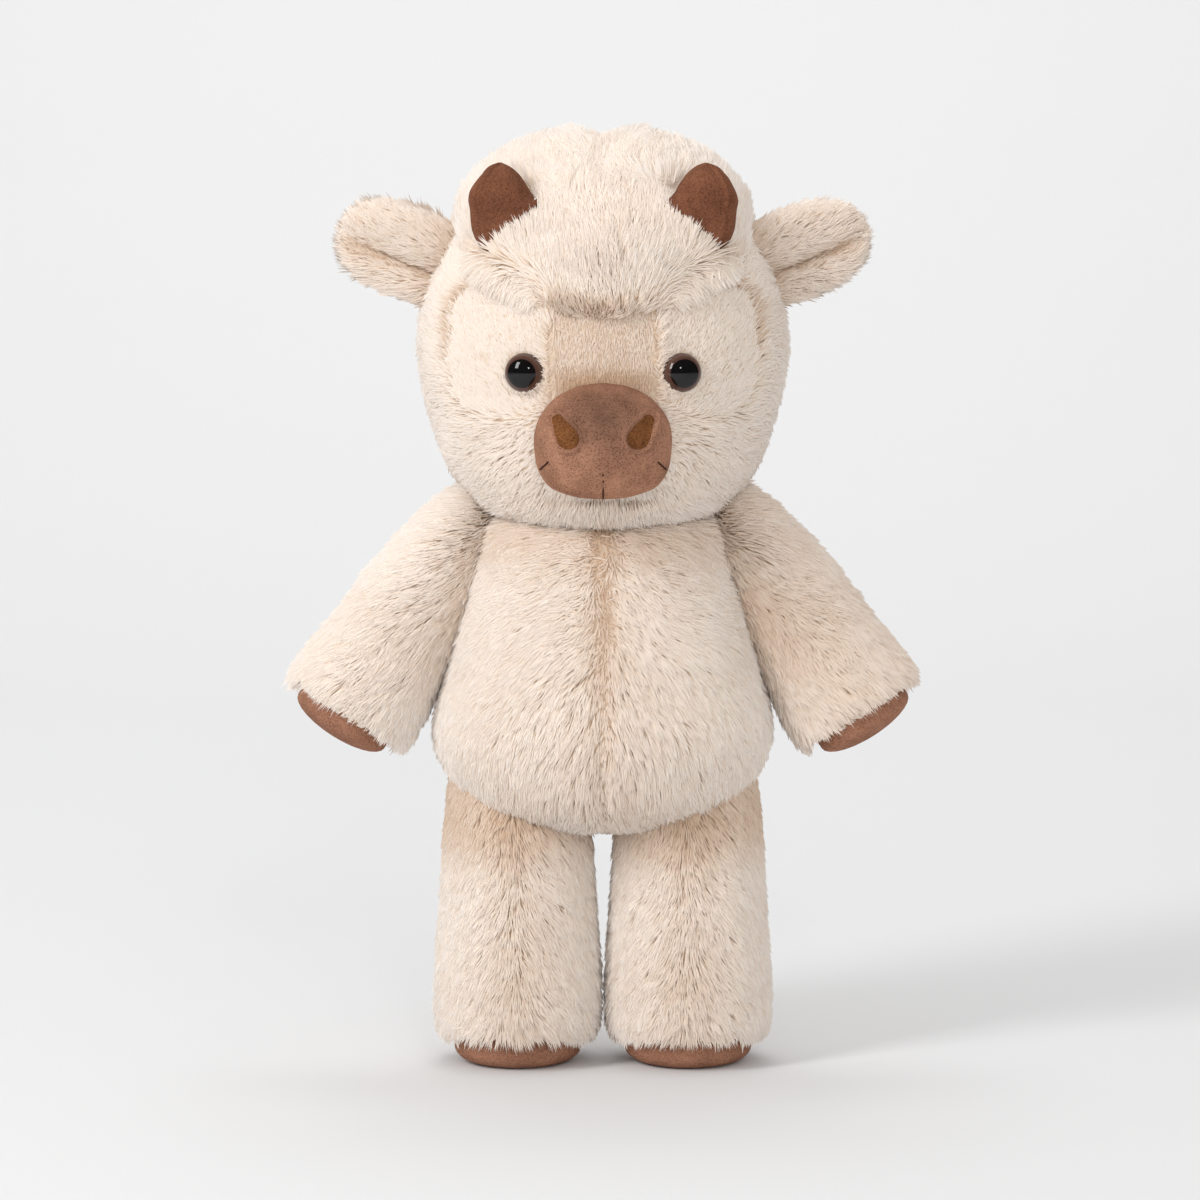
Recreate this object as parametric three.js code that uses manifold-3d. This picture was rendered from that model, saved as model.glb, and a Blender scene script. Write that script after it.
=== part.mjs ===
// A standing plush cow, sewn from long-pile fabric and stuffed.
// Millimetres, +Z up. The cow faces -Y, and left and right are the cow's own, so its left is +X.
// The origin is on the floor, under the middle of the whole toy.

import * as THREE from "three";
import { mergeVertices } from "three/addons/utils/BufferGeometryUtils.js";
import Module from "manifold-3d";

const wasm = await Module();
wasm.setup();

// Fabric and fits
const plushThickness = 6; // backing and pile, pressed
const shortPlushDrop = 2.4; // how far a short-pile panel lies below the long pile round it
const suedeThickness = 1.6;
const seamGap = 0.35; // between pieces that touch
const swingGap = 0.6; // between pieces that move past each other
const cutOverrun = 8;

// Legs
const legHeight = 118;
const legHalfWidth = 31.2;
const legFront = 31;
const legBack = 29.5;
const legSpacing = 1.4;
const soleDrop = 8.6;
const solePadRadius = 23.5;
const soleFlatRadius = 14.5;
const solePadRim = 2.4;
const pelletBagHeight = 14;
const hipSwingLimit = 70;
const hipSide = legHalfWidth + legSpacing / 2;

// Trunk, sitting over the tops of the legs
const legTuck = 42.6;
const torsoHeight = 128;
const torsoHalfWidth = 63;
const bellyReach = 53;
const backReach = 45;
const neckOpeningRadius = 24;
const armholeRadius = 12;
const torsoBase = soleDrop + legHeight - legTuck;
const torsoTop = torsoBase + torsoHeight;
const hipHingeRise = 9;
const hipHingeBehindBelly = 32;
const hipHingeHeight = torsoBase + hipHingeRise;
const hipHingeForward = bellyReach - hipHingeBehindBelly;

// Head, sunk a little over the neck
const neckTuck = 11;
const headHeight = 135;
const headHalfWidth = 68.5;
const faceReach = 60;
const napeReach = 62;
const headBase = torsoTop - neckTuck;
const headTop = headBase + headHeight;

// Long hair on the crown, with its foot between the eyes
const forelockFootDrop = 55;
const forelockHeight = 67;
const forelockHalfWidth = 54;
const forelockProud = 6;
const forelockBack = 55;

// Face panels of short plush
const patchInnerEdge = 19;
const patchWidth = 35;
const patchFootRise = 44;
const patchHeight = 46;
const patchCorner = 14;
const bridgeHalfWidth = 17;
const bridgeFootRise = 42;
const bridgeHeight = 47;
const bridgeCorner = 5;

// Muzzle, with its nostrils and stitches placed from its middle
const muzzleHalfWidth = 24.6;
const muzzleHalfHeight = 20.8;
const muzzleReach = 26;
const muzzleRise = 34.5;
const muzzleSink = 3;
const nostrilSide = 13.6;
const nostrilRise = 4;
const nostrilLength = 12.4;
const nostrilHalfWidth = 4;
const nostrilLean = 28;
const threadLift = 0.9;
const threadWidth = 1.1;
const lipStitchSide = 21;
const lipStitchDrop = 7.5;
const lipStitchLength = 5.5;
const lipStitchLean = 48;
const chinStitchDrop = 17.4;
const chinStitchLength = 6.5;
const muzzleHeight = headBase + muzzleRise;
const muzzleForward = faceReach - muzzleSink;

// Safety eyes
const eyeRadius = 7.1;
const eyeDome = 5.2;
const eyeSide = 28.2;
const eyeRise = 58.8;
const eyeTurn = 22;
const eyeShankRadius = 2.1;
const eyeShankLength = 11;
const washerRadius = 7.2;
const washerThickness = 1.6;
const washerFit = 0.35;
const washerStandOff = 2.3; // behind the panel, where its inside curves away
const eyeHeight = headBase + eyeRise;

// Horns
const hornRootSide = 34;
const hornBehindFace = 17;
const hornRootDrop = 40;
const hornHeight = 38.5;
const hornRadius = 11;
const hornBow = 5;
const hornWall = 1.6;

// Ears
const earRootSide = 47;
const earRootDrop = 43;
const earLength = 56;
const earHalfWidth = 17.4;
const earLayer = 5.2;
const earCup = 7;
const earRise = 21;
const earSweep = 8;
const earFlopLimit = 30;
const earHingeInset = 15.5;
const earRootHeight = headTop - earRootDrop;

// Arms
const shoulderInset = 17;
const shoulderDrop = 7;
const shoulderHingeDrop = 9;
const armLength = 104;
const armSwingForward = 70;
const armSwingBack = 45;
const armAbove = 12;
const armHalfWidth = 26;
const armHalfDepth = 24.5;
const armSpread = 32.6;
const armOffset = 2.2;
const handPadRadius = 19.4;
const handPadDome = 8.4;
const handPadRim = 2.2;
const shoulderSide = torsoHalfWidth - shoulderInset;
const shoulderHingeHeight = torsoTop - shoulderHingeDrop;

// Tail
const tailRootRise = 38;
const tailLength = 38;
const tailRadius = 4;
const tuftRadius = 7;
const tailRootHeight = torsoBase + tailRootRise;

const plush = fabric("plush", "#e9dccb", 0.95);
const shortPlush = fabric("short_plush", "#ece1d2", 0.95);
const suede = fabric("suede", "#8c5d49", 0.9);
const fibrefill = fabric("fibrefill", "#f4f2ee", 1);
const thread = fabric("thread", "#6e4127", 0.8);
const pellets = fabric("pellet_bag", "#d8d2c8", 0.9);
const eyePlastic = fabric("eye_plastic", "#17100d", 0.08);
const washerPlastic = fabric("washer_plastic", "#d9d9d6", 0.5);

function fabric(name, color, roughness) {
  return new THREE.MeshStandardMaterial({ name, color, roughness, metalness: 0 });
}

// Each row of a profile: height, half-width and depth, as shares of the form's own.
const torsoShares = [
  [0, 0, 0],
  [0.022, 0.33, 0.34],
  [0.075, 0.63, 0.64],
  [0.165, 0.885, 0.88],
  [0.32, 1, 1],
  [0.5, 0.93, 0.96],
  [0.68, 0.85, 0.87],
  [0.83, 0.77, 0.78],
  [0.93, 0.7, 0.7],
  [0.985, 0.45, 0.45],
  [1, 0, 0],
];
const headShares = [
  [0, 0, 0],
  [0.014, 0.4, 0.5],
  [0.06, 0.665, 0.79],
  [0.17, 0.84, 0.93],
  [0.345, 0.955, 0.99],
  [0.49, 1, 1],
  [0.62, 0.97, 0.97],
  [0.75, 0.865, 0.88],
  [0.86, 0.72, 0.74],
  [0.945, 0.5, 0.52],
  [0.987, 0.25, 0.26],
  [1, 0, 0],
];
const armShares = [
  [0, 0, 0],
  [0.012, 0.17, 0.22],
  [0.07, 0.36, 0.46],
  [0.15, 0.52, 0.63],
  [0.24, 0.63, 0.73],
  [0.43, 0.79, 0.84],
  [0.66, 0.88, 0.91],
  [0.81, 0.96, 0.97],
  [0.93, 1, 1],
  [0.985, 0.9, 0.9],
  [1, 0.77, 0.78],
  [1, 0, 0],
];
const legShares = [
  [0, 0, 0],
  [0, 0.76, 0.76],
  [0.012, 0.9, 0.9],
  [0.05, 0.985, 0.985],
  [0.15, 1, 1],
  [0.35, 0.955, 0.97],
  [0.6, 0.89, 0.92],
  [0.82, 0.86, 0.86],
  [0.94, 0.66, 0.66],
  [0.99, 0.3, 0.3],
  [1, 0, 0],
];
const forelockShares = [
  [0, 0, 0],
  [0.015, 0.26, 0.91],
  [0.03, 0.385, 0.925],
  [0.09, 0.6, 0.965],
  [0.15, 0.78, 0.985],
  [0.27, 0.947, 0.97],
  [0.36, 0.98, 0.925],
  [0.49, 1, 0.85],
  [0.61, 0.985, 0.75],
  [0.73, 0.91, 0.63],
  [0.85, 0.76, 0.48],
  [0.925, 0.58, 0.35],
  [0.98, 0.31, 0.18],
  [1, 0, 0],
];
const hornShares = [
  [0, 0, 0],
  [0.01, 1.25, 1.16],
  [0.26, 1.22, 1.1],
  [0.52, 1.14, 1],
  [0.73, 0.98, 0.9],
  [0.86, 0.75, 0.74],
  [0.95, 0.45, 0.45],
  [1, 0, 0],
];
const ovalShares = [
  [0, 0, 0],
  [0.035, 0.36, 0.36],
  [0.15, 0.71, 0.71],
  [0.32, 0.93, 0.93],
  [0.5, 1, 1],
  [0.68, 0.93, 0.93],
  [0.85, 0.71, 0.71],
  [0.965, 0.36, 0.36],
  [1, 0, 0],
];
const stemShare = tailRadius / tuftRadius;
const tailShares = [
  [0, 0, 0],
  [0.03, 0.4, 0.4],
  [0.14, 0.85, 0.85],
  [0.28, 1, 1],
  [0.42, 0.75, 0.75],
  [0.55, stemShare, stemShare],
  [0.8, stemShare, stemShare],
  [0.97, stemShare, stemShare],
  [1, 0, 0],
];
const hornBowShares = [
  [0, 0],
  [0.52, 0.4],
  [0.73, 0.8],
  [0.86, 0.96],
  [1, 1],
];
const earOutlineShares = [
  [0, 0.84],
  [0.25, 0.93],
  [0.5, 1],
  [0.7, 0.95],
  [0.86, 0.72],
  [0.96, 0.4],
  [1, 0],
];

// A closed geometry from rings of points, each end shut by a point in its middle.
function closedRings(rings) {
  const sides = rings[0].length;
  const middle = (ring) => ring.reduce((sum, p) => sum.add(p), new THREE.Vector3()).divideScalar(sides);
  const points = [...rings.flat(), middle(rings[0]), middle(rings[rings.length - 1])];
  const startPole = points.length - 2;
  const endPole = points.length - 1;
  const index = [];
  for (let r = 0; r < rings.length - 1; r++) {
    for (let s = 0; s < sides; s++) {
      const a = r * sides + s;
      const b = r * sides + ((s + 1) % sides);
      index.push(a, b, a + sides, b, b + sides, a + sides);
    }
  }
  const last = (rings.length - 1) * sides;
  for (let s = 0; s < sides; s++) {
    const next = (s + 1) % sides;
    index.push(startPole, next, s, endPole, last + s, last + next);
  }
  const geometry = new THREE.BufferGeometry().setFromPoints(points);
  geometry.setIndex(index);
  return geometry;
}

// A solid for cutting and joining, turned to face out.
function solidOf(geometry) {
  const bare = geometry.index ? geometry.toNonIndexed() : geometry.clone();
  bare.deleteAttribute("normal");
  bare.deleteAttribute("uv");
  const merged = mergeVertices(bare, 1e-4);
  const triVerts = new Uint32Array(merged.index.array);
  const at = merged.attributes.position;
  const corner = (i) => new THREE.Vector3().fromBufferAttribute(at, triVerts[i]);
  let volume = 0;
  for (let i = 0; i < triVerts.length; i += 3) volume += corner(i).dot(corner(i + 1).cross(corner(i + 2)));
  if (volume < 0) {
    for (let i = 0; i < triVerts.length; i += 3) {
      [triVerts[i + 1], triVerts[i + 2]] = [triVerts[i + 2], triVerts[i + 1]];
    }
  }
  return new wasm.Manifold(new wasm.Mesh({ numProp: 3, vertProperties: at.array, triVerts }));
}

function geometryOf(solid) {
  const mesh = solid.getMesh();
  const positions = new Float32Array(mesh.numVert * 3);
  for (let i = 0; i < mesh.numVert; i++) {
    positions.set(mesh.vertProperties.subarray(i * mesh.numProp, i * mesh.numProp + 3), i * 3);
  }
  const geometry = new THREE.BufferGeometry();
  geometry.setAttribute("position", new THREE.BufferAttribute(positions, 3));
  geometry.setIndex(new THREE.BufferAttribute(new Uint32Array(mesh.triVerts), 1));
  geometry.computeVertexNormals();
  return geometry;
}

function piece(name, solid, material) {
  const mesh = new THREE.Mesh(geometryOf(solid), material);
  mesh.name = name;
  return mesh;
}

const placed = (geometry, matrix) => solidOf(geometry.clone().applyMatrix4(matrix));
const degrees = THREE.MathUtils.degToRad;

const curveOf = (profile) =>
  new THREE.CatmullRomCurve3(
    profile.map(([h, w, d]) => new THREE.Vector3(h, w, d)),
    false,
    "centripetal",
  );

// The width and depth shares of a profile at a share of its height.
function sharesAt(profile, heightShare) {
  const finePoints = curveOf(profile).getPoints(96);
  const upper = Math.max(1, finePoints.findIndex((p) => p.x >= heightShare));
  const below = finePoints[upper - 1];
  const above = finePoints[upper];
  const t = above.x > below.x ? (heightShare - below.x) / (above.x - below.x) : 0;
  return { width: below.y + (above.y - below.y) * t, depth: below.z + (above.z - below.z) * t };
}

// A stuffed form that swells and tapers as its profile says, standing on z = base.
function stuffed(size, inset, [rings, sides]) {
  const { base, height, halfWidth, front, back, profile, x = 0, y = 0, bow } = size;
  const curve = curveOf(profile);
  const stack = [];
  for (let i = 1; i < rings; i++) {
    const at = curve.getPoint(i / rings);
    const heightShare = THREE.MathUtils.clamp(at.x, 0, 1);
    const z = base + inset + heightShare * (height - 2 * inset);
    const sideways = bow ? bow(heightShare) : 0;
    const ring = [];
    for (let s = 0; s < sides; s++) {
      const angle = ((s + 0.5) / sides) * 2 * Math.PI;
      const reach = Math.sin(angle) < 0 ? front : back;
      ring.push(
        new THREE.Vector3(
          x + sideways + Math.max(at.y, 0) * (halfWidth - inset) * Math.cos(angle),
          y + Math.max(at.z, 0) * (reach - inset) * Math.sin(angle),
          z,
        ),
      );
    }
    stack.push(ring);
  }
  return closedRings(stack);
}

// A round solid about the z axis from a profile of [radius, height] pairs.
function turned(profile, segments) {
  const lathe = new THREE.LatheGeometry(
    profile.map(([r, z]) => new THREE.Vector2(r, z)),
    segments,
  );
  return lathe.rotateX(Math.PI / 2);
}

// A flat outline in x and z, extruded along y from the front to the middle of the head.
function frontCutter(shape, centreX, centreZ, depthFrom, depthTo) {
  const block = new THREE.ExtrudeGeometry(shape, {
    depth: depthTo - depthFrom,
    bevelEnabled: false,
    curveSegments: 5,
  });
  block.rotateX(Math.PI / 2);
  block.translate(centreX, depthTo, centreZ);
  return solidOf(block);
}

function roundedOblong(halfWidth, halfHeight, corner) {
  const shape = new THREE.Shape();
  shape.moveTo(-halfWidth + corner, -halfHeight);
  shape.absarc(halfWidth - corner, -halfHeight + corner, corner, -Math.PI / 2, 0);
  shape.absarc(halfWidth - corner, halfHeight - corner, corner, 0, Math.PI / 2);
  shape.absarc(-halfWidth + corner, halfHeight - corner, corner, Math.PI / 2, Math.PI);
  shape.absarc(-halfWidth + corner, -halfHeight + corner, corner, Math.PI, 1.5 * Math.PI);
  return shape;
}

const torsoSize = {
  base: torsoBase,
  height: torsoHeight,
  halfWidth: torsoHalfWidth,
  front: bellyReach,
  back: backReach,
  profile: torsoShares,
  outer: [15, 24],
  inner: [11, 16],
};
const headSize = {
  base: headBase,
  height: headHeight,
  halfWidth: headHalfWidth,
  front: faceReach,
  back: napeReach,
  profile: headShares,
  outer: [16, 26],
  inner: [12, 18],
};
const forelockSize = {
  base: headTop - forelockFootDrop,
  height: forelockHeight,
  halfWidth: forelockHalfWidth,
  front: faceReach + forelockProud,
  back: forelockBack,
  profile: forelockShares,
  outer: [14, 24],
};

// Where the head's front surface lies, in y, at a place seen from the front.
function faceY(x, z, inset) {
  const share = sharesAt(headShares, (z - headBase - inset) / (headHeight - 2 * inset));
  const across = x / (share.width * (headHalfWidth - inset));
  return -share.depth * (faceReach - inset) * Math.sqrt(Math.max(0, 1 - across * across));
}

// The round space that the head's lower half sweeps as it turns on the neck.
function headTurnForm() {
  const steps = 12;
  const reach = Math.max(headHalfWidth, faceReach, napeReach);
  const profile = [[0, headBase - swingGap]];
  for (let i = 1; i <= steps; i++) {
    const heightShare = 0.3 * (i / steps) ** 2;
    const share = sharesAt(headShares, heightShare);
    const radius = Math.max(share.width * headHalfWidth, share.depth * napeReach, share.depth * faceReach);
    profile.push([Math.min(radius, reach) + swingGap, headBase - swingGap + heightShare * headHeight]);
  }
  profile.push([0, headBase + 0.3 * headHeight]);
  return turned(profile, 24);
}

// The round space about the shoulder hinge that the trunk never leaves, so an arm swings clear of it.
function shoulderSpace(side) {
  const steps = 11;
  const reach = shoulderHingeHeight - torsoBase;
  const profile = [[0, 0], [reach, 0]];
  for (let i = steps; i >= 0; i--) {
    const radius = (reach * i) / steps;
    const below = sharesAt(torsoShares, (shoulderHingeHeight - radius - torsoBase) / torsoHeight).width;
    const wide = i === 0 ? below : Math.max(below, sharesAt(torsoShares, 0.9).width);
    profile.push([radius, wide * torsoHalfWidth + swingGap]);
  }
  const widest = profile.slice(2).map(([r]) => r).length;
  // A trunk narrower further down still sweeps as wide as it was higher up.
  let most = 0;
  for (let i = profile.length - 1; i >= profile.length - widest; i--) {
    most = Math.max(most, profile[i][1]);
    profile[i][1] = most;
  }
  const space = turned(profile, 36);
  return placed(
    space,
    new THREE.Matrix4()
      .makeTranslation(0, 0, shoulderHingeHeight)
      .multiply(new THREE.Matrix4().makeRotationY((side * Math.PI) / 2)),
  );
}

function bore(radius, from, to, segments) {
  const length = from.distanceTo(to);
  const rod = new THREE.CylinderGeometry(radius, radius, length, segments);
  const direction = to.clone().sub(from).normalize();
  const turn = new THREE.Quaternion().setFromUnitVectors(new THREE.Vector3(0, 1, 0), direction);
  const middle = from.clone().add(to).divideScalar(2);
  return placed(rod, new THREE.Matrix4().compose(middle, turn, new THREE.Vector3(1, 1, 1)));
}

// Turns a solid's geometry about a line through a point.
function aboutLine(geometry, point, axis, angle) {
  const matrix = new THREE.Matrix4()
    .makeTranslation(point)
    .multiply(new THREE.Matrix4().makeRotationAxis(axis, angle))
    .multiply(new THREE.Matrix4().makeTranslation(point.clone().negate()));
  return placed(geometry, matrix);
}

function trunk() {
  const group = new THREE.Group();
  const turnSpace = solidOf(headTurnForm());
  const neck = bore(
    neckOpeningRadius,
    new THREE.Vector3(0, 0, headBase - torsoHeight / 2),
    new THREE.Vector3(0, 0, torsoTop),
    24,
  );
  const armholes = bore(
    armholeRadius,
    new THREE.Vector3(-torsoHalfWidth, 0, shoulderHingeHeight),
    new THREE.Vector3(torsoHalfWidth, 0, shoulderHingeHeight),
    16,
  );
  const skin = solidOf(stuffed(torsoSize, 0, torsoSize.outer))
    .subtract(solidOf(stuffed(torsoSize, plushThickness, torsoSize.inner)))
    .subtract(neck)
    .subtract(armholes)
    .subtract(turnSpace);
  const filling = solidOf(stuffed(torsoSize, plushThickness + seamGap, torsoSize.inner)).subtract(turnSpace);
  group.add(piece("torso_skin", skin, plush), piece("torso_filling", filling, fibrefill));
  return group;
}

function arm(side, name) {
  const group = new THREE.Group();
  const size = {
    base: -armLength + armAbove,
    height: armLength,
    halfWidth: armHalfWidth,
    front: armHalfDepth,
    back: armHalfDepth,
    profile: armShares.map(([h, w, d]) => [1 - h, w, d]).reverse(),
    x: side * armOffset,
    outer: [13, 18],
    inner: [9, 12],
  };
  const place = new THREE.Matrix4()
    .makeTranslation(side * shoulderSide, 0, torsoTop - shoulderDrop)
    .multiply(new THREE.Matrix4().makeRotationY(-side * degrees(armSpread)));
  const space = shoulderSpace(side);
  const hinge = new THREE.Vector3(0, 0, shoulderHingeHeight);
  const lateral = new THREE.Vector3(1, 0, 0);
  const turns = [-armSwingBack, -armSwingBack / 2, 0, armSwingForward / 2, armSwingForward];
  const headSpaces = turns.map((turn) => aboutLine(headTurnForm(), hinge, lateral, degrees(turn)));
  const clear = (solid) => headSpaces.reduce((left, head) => left.subtract(head), solid.subtract(space));
  const hole = bore(
    armholeRadius,
    new THREE.Vector3(0, 0, shoulderHingeHeight),
    new THREE.Vector3(side * (shoulderSide + plushThickness * 2), 0, shoulderHingeHeight),
    16,
  );
  const cavity = placed(stuffed(size, plushThickness, size.inner), place);
  const skin = clear(placed(stuffed(size, 0, size.outer), place).subtract(cavity).subtract(hole));
  const filling = clear(placed(stuffed(size, plushThickness + seamGap, size.inner), place));
  const end = -armLength + armAbove - seamGap;
  const pad = placed(
    turned(domedPad(handPadRadius, handPadRim, handPadDome, 0), 24).translate(side * armOffset, 0, end),
    place,
  );
  group.add(
    piece(name + "_arm_skin", skin, plush),
    piece(name + "_arm_filling", filling, fibrefill),
    piece(name + "_hand_pad", pad, suede),
  );
  return group;
}

// The profile of a pad that hangs below z = 0: a straight rim, then a dome or a dome with a flat foot.
function domedPad(radius, rim, dome, flat) {
  const steps = 6;
  const profile = [[0, 0], [radius, 0]];
  for (let i = 0; i <= steps; i++) {
    const angle = (i / steps) * (Math.PI / 2);
    const across = flat + (radius - flat) * Math.cos(angle);
    profile.push([i === steps ? flat : across, -rim - (dome - rim) * Math.sin(angle)]);
  }
  if (flat > 0) profile.push([0, -dome]);
  return profile;
}

function leg(side, name) {
  const group = new THREE.Group();
  const size = {
    base: soleDrop,
    height: legHeight,
    halfWidth: legHalfWidth,
    front: legFront,
    back: legBack,
    profile: legShares,
    x: side * hipSide,
    outer: [13, 18],
    inner: [9, 12],
  };
  // The trunk, a little larger, as the leg sees it while it swings forward.
  const trunkForm = stuffed(torsoSize, -swingGap, torsoSize.outer);
  const hinge = new THREE.Vector3(0, -hipHingeForward, hipHingeHeight);
  const lateral = new THREE.Vector3(1, 0, 0);
  const turns = [0, 0.2, 0.4, 0.6, 0.8, 1].map((share) => degrees(share * hipSwingLimit));
  const spaces = turns.map((turn) => aboutLine(trunkForm, hinge, lateral, turn));
  const clear = (solid) => spaces.reduce((left, space) => left.subtract(space), solid);
  const cavity = solidOf(stuffed(size, plushThickness, size.inner));
  const opening = bore(
    legHalfWidth / 2,
    new THREE.Vector3(side * hipSide, 0, hipHingeHeight - legHalfWidth),
    new THREE.Vector3(side * hipSide, 0, soleDrop + legHeight),
    14,
  );
  const skin = clear(solidOf(stuffed(size, 0, size.outer)).subtract(cavity).subtract(opening));
  const innerFoot = soleDrop + plushThickness + seamGap;
  const bagTop = innerFoot + pelletBagHeight;
  const filled = solidOf(stuffed(size, plushThickness + seamGap, size.inner));
  const below = bore(
    legHalfWidth + cutOverrun,
    new THREE.Vector3(side * hipSide, 0, 0),
    new THREE.Vector3(side * hipSide, 0, bagTop),
    8,
  );
  const above = bore(
    legHalfWidth + cutOverrun,
    new THREE.Vector3(side * hipSide, 0, bagTop - seamGap),
    new THREE.Vector3(side * hipSide, 0, soleDrop + legHeight + cutOverrun),
    8,
  );
  const pad = solidOf(
    turned(domedPad(solePadRadius, solePadRim, soleDrop - seamGap, soleFlatRadius), 28).translate(
      side * hipSide,
      0,
      soleDrop - seamGap,
    ),
  );
  group.add(
    piece(name + "_leg_skin", skin, plush),
    piece(name + "_leg_filling", clear(filled.subtract(below)), fibrefill),
    piece(name + "_foot_pellet_bag", filled.subtract(above), pellets),
    piece(name + "_sole_pad", pad, suede),
  );
  return group;
}

function hornForm(side, extra) {
  const size = {
    base: headTop - hornRootDrop,
    height: hornHeight + extra,
    halfWidth: hornRadius + extra,
    front: hornRadius + extra,
    back: hornRadius + extra,
    profile: hornShares,
    x: side * hornRootSide,
    y: hornBehindFace - faceReach,
    bow: (heightShare) => side * hornBow * bowAt(heightShare),
    outer: [9, 12],
    inner: [8, 10],
  };
  return size;
}

function bowAt(heightShare) {
  const upper = Math.max(1, hornBowShares.findIndex(([h]) => h >= heightShare));
  const [h0, b0] = hornBowShares[upper - 1];
  const [h1, b1] = hornBowShares[upper];
  return b0 + ((b1 - b0) * (heightShare - h0)) / (h1 - h0);
}

function horn(side, name) {
  const group = new THREE.Group();
  const size = hornForm(side, 0);
  const scalp = solidOf(stuffed(headSize, -seamGap, headSize.outer));
  const outer = solidOf(stuffed(size, 0, size.outer)).subtract(scalp);
  const inner = solidOf(stuffed(size, hornWall, size.inner));
  const core = solidOf(stuffed(size, hornWall + seamGap, size.inner)).subtract(scalp);
  group.add(
    piece(name + "_horn_skin", outer.subtract(inner), suede),
    piece(name + "_horn_filling", core, fibrefill),
  );
  return group;
}

// One layer of an ear: a leaf with a hollow face, thickest in its middle.
function earLayerForm(side, inner, thickness) {
  const rings = 9;
  const across = 5;
  const outline = new THREE.CatmullRomCurve3(
    earOutlineShares.map(([u, w]) => new THREE.Vector3(u, w, 0)),
    false,
    "centripetal",
  );
  const stack = [];
  for (let i = 0; i < rings; i++) {
    const at = outline.getPoint(Math.min(i / (rings - 1), 0.985));
    const along = at.x * earLength;
    const half = at.y * earHalfWidth;
    const taper = Math.sqrt(Math.max(0.15, 1 - at.x ** 4));
    const hollow = (v) => earCup * (v * v - 0.45) * (1 - at.x * at.x);
    const ring = [];
    for (let j = 0; j <= across; j++) {
      const v = -1 + (2 * j) / across;
      ring.push(new THREE.Vector3(side * along, inner - hollow(v), v * half));
    }
    for (let j = across; j >= 0; j--) {
      const v = -1 + (2 * j) / across;
      ring.push(new THREE.Vector3(side * along, inner + thickness * taper * (1 - 0.5 * v * v) - hollow(v), v * half));
    }
    stack.push(ring);
  }
  return closedRings(stack);
}

function ear(side, name) {
  const group = new THREE.Group();
  const place = new THREE.Matrix4()
    .makeTranslation(side * earRootSide, 0, earRootHeight)
    .multiply(new THREE.Matrix4().makeRotationY(-side * degrees(earRise)))
    .multiply(new THREE.Matrix4().makeRotationZ(-side * degrees(earSweep)));
  const seam = new THREE.Vector3(side * Math.sin(degrees(-earRise)), 0, Math.cos(degrees(earRise)));
  const root = new THREE.Vector3(side * (earRootSide + earHingeInset), 0, earRootHeight);
  const forms = [headSize, forelockSize].map((size) => stuffed(size, -swingGap, size.outer));
  const turns = [-1, -0.5, 0, 0.5, 1].map((share) => degrees(share * earFlopLimit));
  const spaces = turns.flatMap((turn) => forms.map((form) => aboutLine(form, root, seam, turn)));
  const clear = (solid) => spaces.reduce((left, space) => left.subtract(space), solid);
  const lining = placed(earLayerForm(side, -seamGap / 2, -earLayer), place);
  const outside = placed(earLayerForm(side, seamGap / 2, earLayer), place);
  group.add(
    piece(name + "_ear_lining", clear(lining), plush),
    piece(name + "_ear_back", clear(outside), plush),
  );
  return group;
}

function eye(side, name, wall) {
  const group = new THREE.Group();
  const seat = new THREE.Vector3(side * eyeSide, faceY(eyeSide, eyeHeight, shortPlushDrop), eyeHeight);
  const turn = new THREE.Matrix4().makeRotationZ(side * degrees(eyeTurn));
  const place = new THREE.Matrix4().makeTranslation(seat).multiply(turn);
  const steps = 6;
  const profile = [[0, -eyeShankLength], [eyeShankRadius, -eyeShankLength], [eyeShankRadius, 0], [eyeRadius, 0]];
  for (let i = 1; i < steps; i++) {
    const angle = (i / steps) * (Math.PI / 2);
    profile.push([eyeRadius * Math.cos(angle), eyeDome * Math.sin(angle)]);
  }
  profile.push([0, eyeDome]);
  const forward = turned(profile, 20).rotateX(Math.PI / 2);
  const outFrom = (geometry, distance) => placed(geometry.clone().translate(0, -distance, 0), place);
  const lens = outFrom(forward, seamGap * 2 + shortPlushDrop / 4);
  const ring = [
    [eyeShankRadius + washerFit, 0],
    [washerRadius, 0],
    [washerRadius, washerThickness],
    [eyeShankRadius + washerFit, washerThickness],
    [eyeShankRadius + washerFit, 0],
  ];
  const behind = wall + washerStandOff;
  const washer = placed(turned(ring, 18).rotateX(Math.PI / 2).translate(0, behind + washerThickness, 0), place);
  const shankHole = placed(
    new THREE.CylinderGeometry(eyeShankRadius + washerFit, eyeShankRadius + washerFit, behind * 4, 12),
    place,
  );
  const pocket = placed(
    new THREE.CylinderGeometry(washerRadius + seamGap, washerRadius + seamGap, behind * 2, 14).translate(
      0,
      behind + seamGap,
      0,
    ),
    place,
  );
  group.add(piece(name + "_eye", lens, eyePlastic), piece(name + "_eye_washer", washer, washerPlastic));
  return { group, shankHole, pocket, lens };
}

// A short-pile panel let into the head, and the hole it leaves in the long-pile skin.
function facePanel(name, centreX, foot, halfWidth, height, corner) {
  const centreZ = foot + height / 2;
  const cut = (grow) =>
    frontCutter(
      roundedOblong(halfWidth + grow, height / 2 + grow, corner + grow),
      centreX,
      centreZ,
      -faceReach - cutOverrun,
      0,
    );
  const panel = solidOf(stuffed(headSize, shortPlushDrop, headSize.outer))
    .subtract(solidOf(stuffed(headSize, plushThickness, headSize.inner)))
    .intersect(cut(-seamGap));
  return { name, panel, hole: cut(0) };
}

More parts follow.
